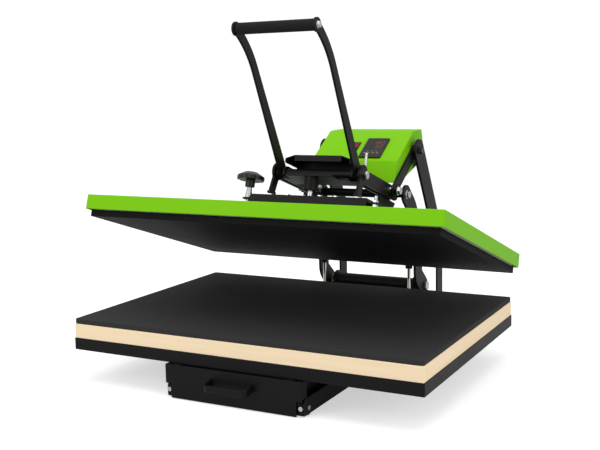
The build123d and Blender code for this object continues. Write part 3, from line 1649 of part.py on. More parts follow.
# Fasteners and pins that stay with the base
upright_face = upright_plane + upright_thick
foot_bolts = side_bolts(
    Plane.YZ, [brace_foot], upright_face, upright_face - brace_plane + 4.0, pivot_bolt_radius
)
with BuildPart() as foot_washers:
    with BuildSketch(Plane.YZ.offset(brace_face + loose_gap)):
        with Locations(brace_foot):
            Circle(pivot_bolt_radius + 6.0)
    extrude(amount=upright_plane - brace_face - loose_gap)
    with BuildSketch(Plane.YZ.offset(brace_plane - loose_gap - 7.0)):
        with Locations(brace_foot):
            RegularPolygon(radius=12.0, side_count=6)
    extrude(amount=7.0)
    mirror(about=Plane.YZ)
with BuildPart() as spring_foot_pins:
    with BuildSketch(Plane.YZ.offset(ear_inner_x - 4.0)):
        with Locations(spring_foot):
            Circle(spring_pin_radius)
    extrude(amount=ear_outer_x + bracket_ear + 4.0 - ear_inner_x + 4.0)
    with BuildSketch(Plane.YZ.offset(ear_outer_x + bracket_ear)):
        with Locations(spring_foot):
            RegularPolygon(radius=7.0, side_count=6)
    extrude(amount=4.5)
    with BuildSketch(Plane.YZ.offset(ear_inner_x - 4.5)):
        with Locations(spring_foot):
            RegularPolygon(radius=7.0, side_count=6)
    extrude(amount=4.5)
    mirror(about=Plane.YZ)
with BuildPart() as base_bolts:
    add(front_axles.part)
    add(rail_end_bolts.part)
    add(deck_bolts.part)
    add(foot_bolts)
    add(foot_washers.part)
    add(spring_foot_pins.part)
finish(base_bolts.part, "base_bolts")
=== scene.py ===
"""Looks of the slide-out heat press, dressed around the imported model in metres."""
import json
import logging
import math
from dataclasses import dataclass, field
from enum import Enum
from typing import Sequence

import bmesh
import bpy
from mathutils import Matrix, Vector


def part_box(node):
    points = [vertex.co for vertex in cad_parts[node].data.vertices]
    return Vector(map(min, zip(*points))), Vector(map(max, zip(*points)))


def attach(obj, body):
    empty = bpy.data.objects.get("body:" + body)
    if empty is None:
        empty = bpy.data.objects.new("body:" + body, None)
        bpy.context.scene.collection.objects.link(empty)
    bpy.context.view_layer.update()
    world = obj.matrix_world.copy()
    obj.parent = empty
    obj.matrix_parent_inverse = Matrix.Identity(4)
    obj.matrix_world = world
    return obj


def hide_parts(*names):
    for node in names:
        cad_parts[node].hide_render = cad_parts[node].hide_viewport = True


LOG = logging.getLogger("heat_press")
MM = 0.001
MERGE_MM = 0.001

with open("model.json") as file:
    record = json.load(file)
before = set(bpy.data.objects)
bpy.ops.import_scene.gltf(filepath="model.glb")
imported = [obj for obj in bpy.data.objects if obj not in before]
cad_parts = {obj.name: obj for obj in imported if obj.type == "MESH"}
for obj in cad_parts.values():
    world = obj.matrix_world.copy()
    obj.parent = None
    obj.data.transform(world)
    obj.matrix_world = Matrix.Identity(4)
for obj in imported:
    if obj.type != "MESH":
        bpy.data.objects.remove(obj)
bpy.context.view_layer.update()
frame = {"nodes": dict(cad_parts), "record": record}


class Body(Enum):
    """The moving bodies that carry pieces made here."""

    DRAWER = "drawer"
    HANDLE = "handle"
    HEAD = "head"
    KNOB = "knob"
    BOX = "box_carrier"


class Streak(Enum):
    """The direction in which a finish is stretched."""

    NONE = (1.0, 1.0, 1.0)
    LAYERED = (0.02, 0.02, 1.0)


def linear(red: int, green: int, blue: int) -> tuple[float, float, float, float]:
    """Turn a screen colour into the linear colour that shaders take.

    Args:
        red: Red from 0 to 255.
        green: Green from 0 to 255.
        blue: Blue from 0 to 255.

    Returns:
        Linear red, green, blue and an alpha of one.
    """
    parts = []
    for value in (red, green, blue):
        share = value / 255.0
        parts.append(share / 12.92 if share <= 0.04045 else ((share + 0.055) / 1.055) ** 2.4)
    return (parts[0], parts[1], parts[2], 1.0)


def surface_group() -> bpy.types.ShaderNodeTree:
    """Build the node group that varies a colour, a roughness and a height over a surface.

    Returns:
        The node tree of the group.
    """
    tree = bpy.data.node_groups.new("surface_variation", "ShaderNodeTree")
    face = tree.interface
    for name, kind, default in (
        ("Colour", "NodeSocketColor", (0.5, 0.5, 0.5, 1.0)),
        ("Worn Colour", "NodeSocketColor", (0.6, 0.6, 0.6, 1.0)),
        ("Stretch", "NodeSocketVector", (1.0, 1.0, 1.0)),
        ("Grain Scale", "NodeSocketFloat", 900.0),
        ("Patch Scale", "NodeSocketFloat", 6.0),
        ("Patch Amount", "NodeSocketFloat", 0.2),
        ("Roughness", "NodeSocketFloat", 0.5),
        ("Roughness Spread", "NodeSocketFloat", 0.08),
    ):
        socket = face.new_socket(name=name, in_out="INPUT", socket_type=kind)
        socket.default_value = default
    for name, kind in (
        ("Colour", "NodeSocketColor"),
        ("Roughness", "NodeSocketFloat"),
        ("Height", "NodeSocketFloat"),
    ):
        face.new_socket(name=name, in_out="OUTPUT", socket_type=kind)
    nodes = tree.nodes
    links = tree.links
    given = nodes.new("NodeGroupInput")
    result = nodes.new("NodeGroupOutput")
    place = nodes.new("ShaderNodeTexCoord")
    stretch = nodes.new("ShaderNodeVectorMath")
    stretch.operation = "MULTIPLY"
    links.new(place.outputs["Object"], stretch.inputs[0])
    links.new(given.outputs["Stretch"], stretch.inputs[1])
    grain = nodes.new("ShaderNodeTexNoise")
    grain.inputs["Detail"].default_value = 2.0
    links.new(stretch.outputs[0], grain.inputs["Vector"])
    links.new(given.outputs["Grain Scale"], grain.inputs["Scale"])
    patch = nodes.new("ShaderNodeTexNoise")
    patch.inputs["Detail"].default_value = 5.0
    patch.inputs["Roughness"].default_value = 0.6
    links.new(stretch.outputs[0], patch.inputs["Vector"])
    links.new(given.outputs["Patch Scale"], patch.inputs["Scale"])
    share = nodes.new("ShaderNodeMath")
    share.operation = "MULTIPLY"
    links.new(patch.outputs["Fac"], share.inputs[0])
    links.new(given.outputs["Patch Amount"], share.inputs[1])
    tint = nodes.new("ShaderNodeMix")
    tint.data_type = "RGBA"
    links.new(share.outputs[0], tint.inputs[0])
    links.new(given.outputs["Colour"], tint.inputs[6])
    links.new(given.outputs["Worn Colour"], tint.inputs[7])
    links.new(tint.outputs[2], result.inputs["Colour"])
    centred = nodes.new("ShaderNodeMath")
    centred.operation = "SUBTRACT"
    centred.inputs[1].default_value = 0.5
    links.new(patch.outputs["Fac"], centred.inputs[0])
    spread = nodes.new("ShaderNodeMath")
    spread.operation = "MULTIPLY_ADD"
    links.new(centred.outputs[0], spread.inputs[0])
    links.new(given.outputs["Roughness Spread"], spread.inputs[1])
    links.new(given.outputs["Roughness"], spread.inputs[2])
    links.new(spread.outputs[0], result.inputs["Roughness"])
    links.new(grain.outputs["Fac"], result.inputs["Height"])
    return tree


SURFACE = surface_group()


@dataclass(frozen=True)
class Finish:
    """One finish of the machine, from paint to plating."""

    name: str
    colour: tuple[float, float, float, float]
    worn: tuple[float, float, float, float]
    roughness: float = 0.5
    spread: float = 0.1
    metallic: float = 0.0
    grain_scale: float = 1400.0
    patch_scale: float = 7.0
    patch_amount: float = 0.25
    bump: float = 0.08
    bump_depth: float = 0.0004
    glow: float = 0.0
    specular: float = 0.5
    streak: Streak = Streak.NONE

    def material(self) -> bpy.types.Material:
        """Build the material once and return it afterwards.

        Returns:
            The material with this finish's name.
        """
        made = bpy.data.materials.get(self.name)
        if made:
            return made
        made = bpy.data.materials.new(self.name)
        made.use_nodes = True
        nodes = made.node_tree.nodes
        links = made.node_tree.links
        shader = nodes["Principled BSDF"]
        surface = nodes.new("ShaderNodeGroup")
        surface.node_tree = SURFACE
        surface.inputs["Colour"].default_value = self.colour
        surface.inputs["Worn Colour"].default_value = self.worn
        surface.inputs["Stretch"].default_value = self.streak.value
        surface.inputs["Grain Scale"].default_value = self.grain_scale
        surface.inputs["Patch Scale"].default_value = self.patch_scale
        surface.inputs["Patch Amount"].default_value = self.patch_amount
        surface.inputs["Roughness"].default_value = self.roughness
        surface.inputs["Roughness Spread"].default_value = self.spread
        bump = nodes.new("ShaderNodeBump")
        bump.inputs["Strength"].default_value = self.bump
        bump.inputs["Distance"].default_value = self.bump_depth
        links.new(surface.outputs["Colour"], shader.inputs["Base Color"])
        links.new(surface.outputs["Roughness"], shader.inputs["Roughness"])
        links.new(surface.outputs["Height"], bump.inputs["Height"])
        links.new(bump.outputs["Normal"], shader.inputs["Normal"])
        shader.inputs["Metallic"].default_value = self.metallic
        shader.inputs["Specular IOR Level"].default_value = self.specular
        if self.glow:
            shader.inputs["Emission Color"].default_value = self.colour
            shader.inputs["Emission Strength"].default_value = self.glow
        made.diffuse_color = self.colour
        return made


GREEN_PAINT = Finish(
    "green_powder_coat",
    (0.14, 0.4, 0.0002, 1.0),
    (0.155, 0.42, 0.001, 1.0),
    roughness=0.42,
    bump=0.04,
    specular=0.07,
)
BLACK_PAINT = Finish(
    "black_powder_coat",
    (0.0035, 0.0035, 0.0037, 1.0),
    (0.006, 0.006, 0.0064, 1.0),
    roughness=0.44,
    spread=0.14,
    bump=0.1,
    specular=0.12,
)
FRONT_PAINT = Finish(
    "front_panel_coat",
    (0.003, 0.003, 0.0032, 1.0),
    (0.005, 0.005, 0.0054, 1.0),
    roughness=0.4,
    spread=0.12,
    bump=0.07,
    specular=0.13,
)
PAD_FOAM = Finish(
    "silicone_foam",
    (0.024, 0.0237, 0.0237, 1.0),
    (0.031, 0.0305, 0.0305, 1.0),
    roughness=0.8,
    grain_scale=2600.0,
    patch_scale=4.0,
    bump=0.3,
    specular=0.1,
)
BOARD_WOOD = Finish(
    "board_edge",
    (0.8, 0.66, 0.46, 1.0),
    (0.62, 0.45, 0.28, 1.0),
    roughness=0.7,
    grain_scale=620.0,
    patch_scale=180.0,
    patch_amount=0.7,
    bump=0.15,
    specular=0.2,
    streak=Streak.LAYERED,
)
PLATEN_METAL = Finish(
    "black_platen_coating",
    (0.003, 0.003, 0.0031, 1.0),
    (0.0045, 0.0045, 0.0047, 1.0),
    roughness=0.65,
    grain_scale=900.0,
    patch_scale=12.0,
    bump=0.03,
    specular=0.08,
)
ZINC = Finish(
    "zinc_plating",
    (0.5, 0.51, 0.5, 1.0),
    (0.36, 0.37, 0.36, 1.0),
    roughness=0.26,
    metallic=1.0,
    patch_scale=90.0,
    patch_amount=0.5,
)
BLACK_OXIDE = Finish(
    "black_oxide",
    (0.03, 0.03, 0.032, 1.0),
    (0.05, 0.05, 0.052, 1.0),
    roughness=0.34,
    metallic=0.9,
    patch_scale=70.0,
)
BRIGHT_ROD = Finish(
    "bright_rod", (0.72, 0.73, 0.75, 1.0), (0.66, 0.67, 0.69, 1.0), roughness=0.12, metallic=1.0, bump=0.02
)
BRONZE = Finish("bearing_bronze", linear(186, 146, 88), linear(150, 112, 62), roughness=0.4, metallic=1.0)
BLACK_PLASTIC = Finish(
    "black_moulding",
    (0.0055, 0.0055, 0.006, 1.0),
    (0.009, 0.009, 0.0096, 1.0),
    roughness=0.4,
    grain_scale=2200.0,
    bump=0.12,
    specular=0.3,
)
CONTROLLER_FACE = Finish(
    "controller_overlay",
    (0.02, 0.018, 0.017, 1.0),
    (0.025, 0.022, 0.021, 1.0),
    roughness=0.46,
    grain_scale=2600.0,
    bump=0.05,
    specular=0.2,
)
ROLLER_PLASTIC = Finish(
    "roller_nylon", (0.02, 0.02, 0.021, 1.0), (0.032, 0.032, 0.033, 1.0), roughness=0.5, specular=0.3
)
RED_PLASTIC = Finish(
    "red_rocker",
    (0.15, 0.004, 0.0015, 1.0),
    (0.12, 0.003, 0.0012, 1.0),
    roughness=0.3,
    bump=0.02,
    specular=0.15,
)
MARK_WHITE = Finish("printed_mark", (0.34, 0.33, 0.32, 1.0), (0.3, 0.29, 0.28, 1.0), roughness=0.5, bump=0.0)
LAMP_GREEN = Finish("lamp_green", (0.16, 0.36, 0.05, 1.0), (0.14, 0.32, 0.05, 1.0), roughness=0.3, glow=0.25)
KEY_PLASTIC = Finish("key_moulding", (0.045, 0.043, 0.042, 1.0), (0.06, 0.057, 0.055, 1.0), roughness=0.5)
FOOT_RUBBER = Finish(
    "foot_rubber",
    (0.008, 0.008, 0.008, 1.0),
    (0.016, 0.016, 0.016, 1.0),
    roughness=0.85,
    bump=0.2,
    specular=0.2,
)
GRIP_FOAM = Finish(
    "grip_foam",
    (0.0075, 0.0075, 0.008, 1.0),
    (0.014, 0.014, 0.0145, 1.0),
    roughness=0.75,
    grain_scale=1500.0,
    patch_scale=30.0,
    bump=0.55,
    specular=0.1,
)
GLASS_WOOL = Finish("glass_wool", linear(226, 216, 186), linear(200, 188, 150), roughness=0.95, bump=0.6)
ELEMENT_STEEL = Finish("element_sheath", linear(96, 90, 84), linear(70, 60, 52), roughness=0.5, metallic=1.0)
DISPLAY_GLASS = Finish(
    "display_window",
    (0.014, 0.01, 0.009, 1.0),
    (0.017, 0.012, 0.011, 1.0),
    roughness=0.18,
    bump=0.0,
    specular=0.25,
)
DIGIT_GLOW = Finish(
    "digit_glow", (0.12, 0.03, 0.022, 1.0), (0.12, 0.03, 0.022, 1.0), roughness=0.5, glow=0.12
)

NODE_FINISHES: dict[Finish, tuple[str, ...]] = {
    GREEN_PAINT: ("head_cover", "control_box", "box_base_cover"),
    BLACK_PAINT: (
        "table_tray",
        "tray_ribs",
        "drawer_runners",
        "drawer_back_bar",
        "base_rails",
        "base_cross_bars",
        "rear_deck",
        "rear_frame",
        "hinge_stand",
        "swing_plates",
        "arm_cross_tube",
        "outer_arm_bars",
        "inner_arm_bars",
        "pressure_housing",
        "handle_fork",
        "eccentric_discs",
        "head_frame",
        "press_beam",
        "press_links",
        "link_bars",
        "rear_braces",
        "gas_cylinders",
        "spring_brackets",
    ),
    FRONT_PAINT: ("drawer_front_panel", "drawer_pull"),
    PAD_FOAM: ("press_pad",),
    BOARD_WOOD: ("table_board",),
    PLATEN_METAL: ("heat_platen",),
    ZINC: (
        "drawer_bolts",
        "base_bolts",
        "hinge_shaft",
        "lever_shaft",
        "arm_bolts",
        "grip_rod",
        "spacer_posts",
        "temperature_probe",
        "head_bolts",
        "beam_studs",
        "knob_stud",
    ),
    BLACK_OXIDE: ("carrier_bolts",),
    BRIGHT_ROD: ("gas_rods",),
    BRONZE: ("hinge_bushes",),
    BLACK_PLASTIC: ("pressure_knob", "temperature_controller", "switch_frame", "power_inlet"),
    ROLLER_PLASTIC: ("back_rollers", "front_rollers"),
    RED_PLASTIC: ("switch_rocker",),
    KEY_PLASTIC: ("button_set", "button_shift", "button_down", "button_up"),
    FOOT_RUBBER: ("base_feet",),
    GRIP_FOAM: ("handle_grip",),
    GLASS_WOOL: ("insulation_blanket",),
    ELEMENT_STEEL: ("heating_element",),
}


def coat_nodes() -> None:
    """Give every node of the model its finish."""
    for finish, names in NODE_FINISHES.items():
        for name in names:
            mesh = frame["nodes"][name].data
            mesh.materials.clear()
            mesh.materials.append(finish.material())


def finish_of(node: str) -> Finish:
    """Find the finish of a node.

    Args:
        node: The node's name.

    Returns:
        The finish that the node is coated with.
    """
    for finish, names in NODE_FINISHES.items():
        if node in names:
            return finish
    raise KeyError(node)


def body_of_node(node: str) -> str:
    """Find the body that a node belongs to.

    Args:
        node: The node's name.

    Returns:
        The body's name.
    """
    for body, names in frame["record"]["behaviour"]["bodies"].items():
        if node in names:
            return body
    raise KeyError(node)


def shade_by_angle(mesh: bpy.types.Mesh, degrees: float = 35.0) -> None:
    """Smooth a mesh except at edges sharper than an angle.

    Args:
        mesh: The mesh to shade.
        degrees: The angle above which an edge stays sharp.
    """
    for polygon in mesh.polygons:
        polygon.use_smooth = True
    mesh.set_sharp_from_angle(angle=math.radians(degrees))


def add_piece(
    name: str,
    shape: bmesh.types.BMesh,
    body: str,
    finish: Finish,
    hides: Sequence[str] = (),
    smooth: float = 35.0,
) -> bpy.types.Object:
    """Turn a finished shape into a piece that rides on a body.

    Args:
        name: The piece's name.
        shape: The shape, in place, which is freed here.
        body: The body that the piece moves with.
        finish: The finish that it gets.
        hides: Nodes that the piece stands for.
        smooth: The angle above which edges stay sharp.

    Returns:
        The new object.
    """
    mesh = bpy.data.meshes.new(name)
    shape.to_mesh(mesh)
    shape.free()
    mesh.materials.append(finish.material())
    shade_by_angle(mesh, smooth)
    piece = bpy.data.objects.new(name, mesh)
    bpy.context.scene.collection.objects.link(piece)
    even = piece.modifiers.new("even_normals", "WEIGHTED_NORMAL")
    even.keep_sharp = True
    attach(piece, body)
    if hides:
        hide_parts(*hides)
    LOG.info("%s: %d faces on %s", name, len(mesh.polygons), body)
    return piece


@dataclass
class EasedEdges:
    """Copies of sharp-edged nodes with their edges eased, as folding and coating leave them."""

    widths_mm: dict[str, float]
    segments: int = 2
    edge_angle: float = 32.0
    flat_angle: float = 1.0
    merge_mm: float = 0.002

    def build(self) -> None:
        """Make every copy."""
        for node, width in self.widths_mm.items():
            self.ease(node, width * MM)

    def ease(self, node: str, width: float) -> None:
        """Copy one node, bevel its sharp edges and let the copy stand for it.

        Args:
            node: The node's name.
            width: The width of the bevel in metres.
        """
        shape = bmesh.new()
        shape.from_mesh(frame["nodes"][node].data)
        bmesh.ops.remove_doubles(shape, verts=shape.verts, dist=self.merge_mm * MM)
        bmesh.ops.dissolve_limit(
            shape,
            angle_limit=math.radians(self.flat_angle),
            verts=shape.verts,
            edges=shape.edges,
            delimit={"NORMAL"},
        )
        sharp = math.radians(self.edge_angle)
        edges = [
            edge for edge in shape.edges if len(edge.link_faces) == 2 and edge.calc_face_angle(0.0) > sharp
        ]
        bmesh.ops.bevel(
            shape,
            geom=edges,
            offset=width,
            offset_type="OFFSET",
            segments=self.segments,
            profile=0.5,
            affect="EDGES",
            clamp_overlap=False,
            material=-1,
        )
        add_piece(
            f"{node}_eased", shape, body_of_node(node), finish_of(node), (node,)
        )


@dataclass
class PressPad:
    """The foam pad on the sliding table."""

    corner_mm: float = 6.0
    corner_steps: int = 6
    edge_mm: float = 2.2
    edge_steps: int = 4
    edge_angle: float = 60.0
    inset_mm: float = 0.6

    def build(self) -> None:
        """Build the pad over its node."""
        low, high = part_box("press_pad")
        shape = bmesh.new()
        bmesh.ops.create_cube(shape, size=1.0)
        span = Vector(high) - Vector(low)
        trim = Vector((2 * self.inset_mm * MM, 2 * self.inset_mm * MM, 0.0))
        bmesh.ops.scale(shape, verts=shape.verts, vec=span - trim)
        bmesh.ops.translate(shape, verts=shape.verts, vec=(Vector(high) + Vector(low)) / 2)
        upright = [edge for edge in shape.edges if abs(edge.verts[0].co.z - edge.verts[1].co.z) > span.z / 2]
        bmesh.ops.bevel(
            shape,
            geom=upright,
            offset=self.corner_mm * MM,
            segments=self.corner_steps,
            profile=0.5,
            affect="EDGES",
            material=-1,
        )
        round_rims(shape, self.edge_mm, self.edge_steps, self.edge_angle)
        pad = add_piece("press_pad_foam", shape, Body.DRAWER.value, PAD_FOAM, ("press_pad",))


def place_frame(origin_mm: tuple[float, float], up: tuple[float, float]) -> Matrix:
    """Make the frame of a tilted flat place, with its own X, along and up directions.

    Args:
        origin_mm: World Y and Z of the origin.
        up: World Y and Z of the direction that stands up from the place.

    Returns:
        The matrix from the place's own metres to the world's.
    """
    rise = Vector((0.0, up[0], up[1])).normalized()
    along = rise.cross(Vector((1.0, 0.0, 0.0)))
    turn = Matrix((Vector((1.0, 0.0, 0.0)), along, rise)).transposed().to_4x4()
    return Matrix.Translation(Vector((0.0, origin_mm[0], origin_mm[1])) * MM) @ turn


HEAD_TILT = math.radians(18.1)
HEAD_ORIGIN_MM = (-97.087, 344.761)
HEAD_PLACE = place_frame(HEAD_ORIGIN_MM, (math.sin(HEAD_TILT), math.cos(HEAD_TILT)))
PANEL_ORIGIN_MM = (233.0, 556.0)
PANEL_UP = (-82.5, 133.0)
PANEL_PLACE = place_frame(PANEL_ORIGIN_MM, PANEL_UP)


def add_block(shape: bmesh.types.BMesh, centre_mm: Sequence[float], size_mm: Sequence[float]) -> None:
    """Add a block to a shape.

    Args:
        shape: The shape that gets the block.
        centre_mm: The block's centre.
        size_mm: Its three sides.
    """
    made = bmesh.ops.create_cube(shape, size=1.0)["verts"]
    bmesh.ops.scale(shape, verts=made, vec=Vector(size_mm) * MM)
    bmesh.ops.translate(shape, verts=made, vec=Vector(centre_mm) * MM)


def round_rims(shape: bmesh.types.BMesh, width_mm: float, segments: int = 3, above: float = 50.0) -> None:
    """Round every edge that is sharper than an angle.

    Args:
        shape: The shape.
        width_mm: The width of the rounding.
        segments: Its number of steps.
        above: The angle in degrees.
    """
    rims = [edge for edge in shape.edges if edge.calc_face_angle(0.0) > math.radians(above)]
    bmesh.ops.bevel(
        shape, geom=rims, offset=width_mm * MM, segments=segments, profile=0.5, affect="EDGES", material=-1
    )


def spin_profile(
    shape: bmesh.types.BMesh,
    profile_mm: Sequence[tuple[float, float]],
    centre_mm: Sequence[float],
    axis: Vector,
    steps: int,
) -> None:
    """Turn a profile of distance along the axis and radius into a closed turned form.

    Args:
        shape: The shape that gets the turned form.
        profile_mm: Pairs of the distance along the axis and the radius, which start and end on the axis.
        centre_mm: The point on the axis that the distances start from.
        axis: The axis.
        steps: The number of facets around it.
    """
    centre = Vector(centre_mm) * MM
    aside = axis.orthogonal().normalized()
    verts = [shape.verts.new(centre + axis * run * MM + aside * radius * MM) for run, radius in profile_mm]
    edges = [shape.edges.new(pair) for pair in zip(verts, verts[1:])]
    bmesh.ops.spin(
        shape,
        geom=verts + edges,
        cent=centre,
        axis=axis,
        angle=math.tau,
        steps=steps,
        use_merge=True,
    )
    bmesh.ops.remove_doubles(shape, verts=shape.verts, dist=MERGE_MM * MM)


def close_and_face_out(shape: bmesh.types.BMesh) -> None:
    """Merge the doubles of a shape and point its faces outwards."""
    bmesh.ops.remove_doubles(shape, verts=shape.verts, dist=MERGE_MM * MM)
    bmesh.ops.recalc_face_normals(shape, faces=shape.faces)


@dataclass
class HandleGrip:
    """The foam sleeve that the operator holds."""

    place_mm: tuple[float, float] = (-317.0, 520.0)
    half_mm: float = 115.0
    radius_mm: float = 15.6
    bore_mm: float = 12.2
    lip_mm: float = 3.2
    lip_steps: int = 6
    around: int = 48

    def build(self) -> None:
        """Build the sleeve with soft rolled ends."""
        profile = [(-self.half_mm, self.bore_mm)]
        for step in range(self.lip_steps + 1):
            turn = math.pi / 2 * step / self.lip_steps
            profile.append(
                (
                    -self.half_mm + self.lip_mm * (1 - math.cos(turn)),
                    self.radius_mm - self.lip_mm * (1 - math.sin(turn)),
                )
            )
        profile += [(-run, radius) for run, radius in reversed(profile)]
        profile.append(profile[0])
        shape = bmesh.new()
        centre = (0.0, *self.place_mm)
        spin_profile(shape, profile, centre, Vector((1.0, 0.0, 0.0)), self.around)
        bmesh.ops.transform(shape, verts=shape.verts, matrix=HEAD_PLACE)
        close_and_face_out(shape)
        add_piece("grip_foam_sleeve", shape, Body.HANDLE.value, GRIP_FOAM, ("handle_grip",))


@dataclass
class StudThreads:
    """Rolled threads on the studs of the press head."""

    pitch_mm: float = 1.75
    depth_mm: float = 0.42
    proud_mm: float = 0.3
    crest_start: float = 0.44
    crest_end: float = 0.56
    steps: int = 28
    beam_runs_mm: tuple[tuple[float, float, float, float, float], ...] = (
        (200.5, -8.0, 71.5, 114.8, 4.5),
        (200.5, -8.0, 132.2, 144.4, 4.5),
        (-136.5, 11.0, 117.0, 121.2, 6.0),
        (136.5, 11.0, 117.0, 121.2, 6.0),
    )
    knob_runs_mm: tuple[tuple[float, float, float, float, float], ...] = ((-200.5, -8.0, 68.0, 120.8, 6.0),)

    def build(self) -> None:
        """Build the threads of the beam's studs and of the knob's stud."""
        self.thread("beam_stud_threads", self.beam_runs_mm, Body.HEAD.value)
        self.thread("knob_stud_thread", self.knob_runs_mm, Body.KNOB.value)

    def thread(self, name: str, runs: Sequence[tuple[float, float, float, float, float]], body: str) -> None:
        """Build ribbed sleeves over the bare parts of the studs.

        Args:
            name: The piece's name.
            runs: Each run's X, V, lower and upper height, and stud radius.
            body: The body that the studs move with.
        """
        shape = bmesh.new()
        for x, v, low, high, radius in runs:
            turns = max(1, int((high - low) / self.pitch_mm))
            profile = [(low, 0.0), (low, radius - self.depth_mm)]
            for turn in range(turns):
                foot = low + turn * self.pitch_mm
                profile.append((foot + self.pitch_mm * self.crest_start, radius + self.proud_mm))
                profile.append((foot + self.pitch_mm * self.crest_end, radius + self.proud_mm))
                profile.append((foot + self.pitch_mm, radius - self.depth_mm))
            profile.append((low + turns * self.pitch_mm, 0.0))
            spin_profile(shape, profile, (x, v, 0.0), Vector((0.0, 0.0, 1.0)), self.steps)
        bmesh.ops.transform(shape, verts=shape.verts, matrix=HEAD_PLACE)
        close_and_face_out(shape)
        add_piece(name, shape, body, ZINC, smooth=50.0)


SEGMENTS = {
    "0": "abcdef",
    "1": "bc",
    "6": "afgedc",
    "8": "abcdefg",
}


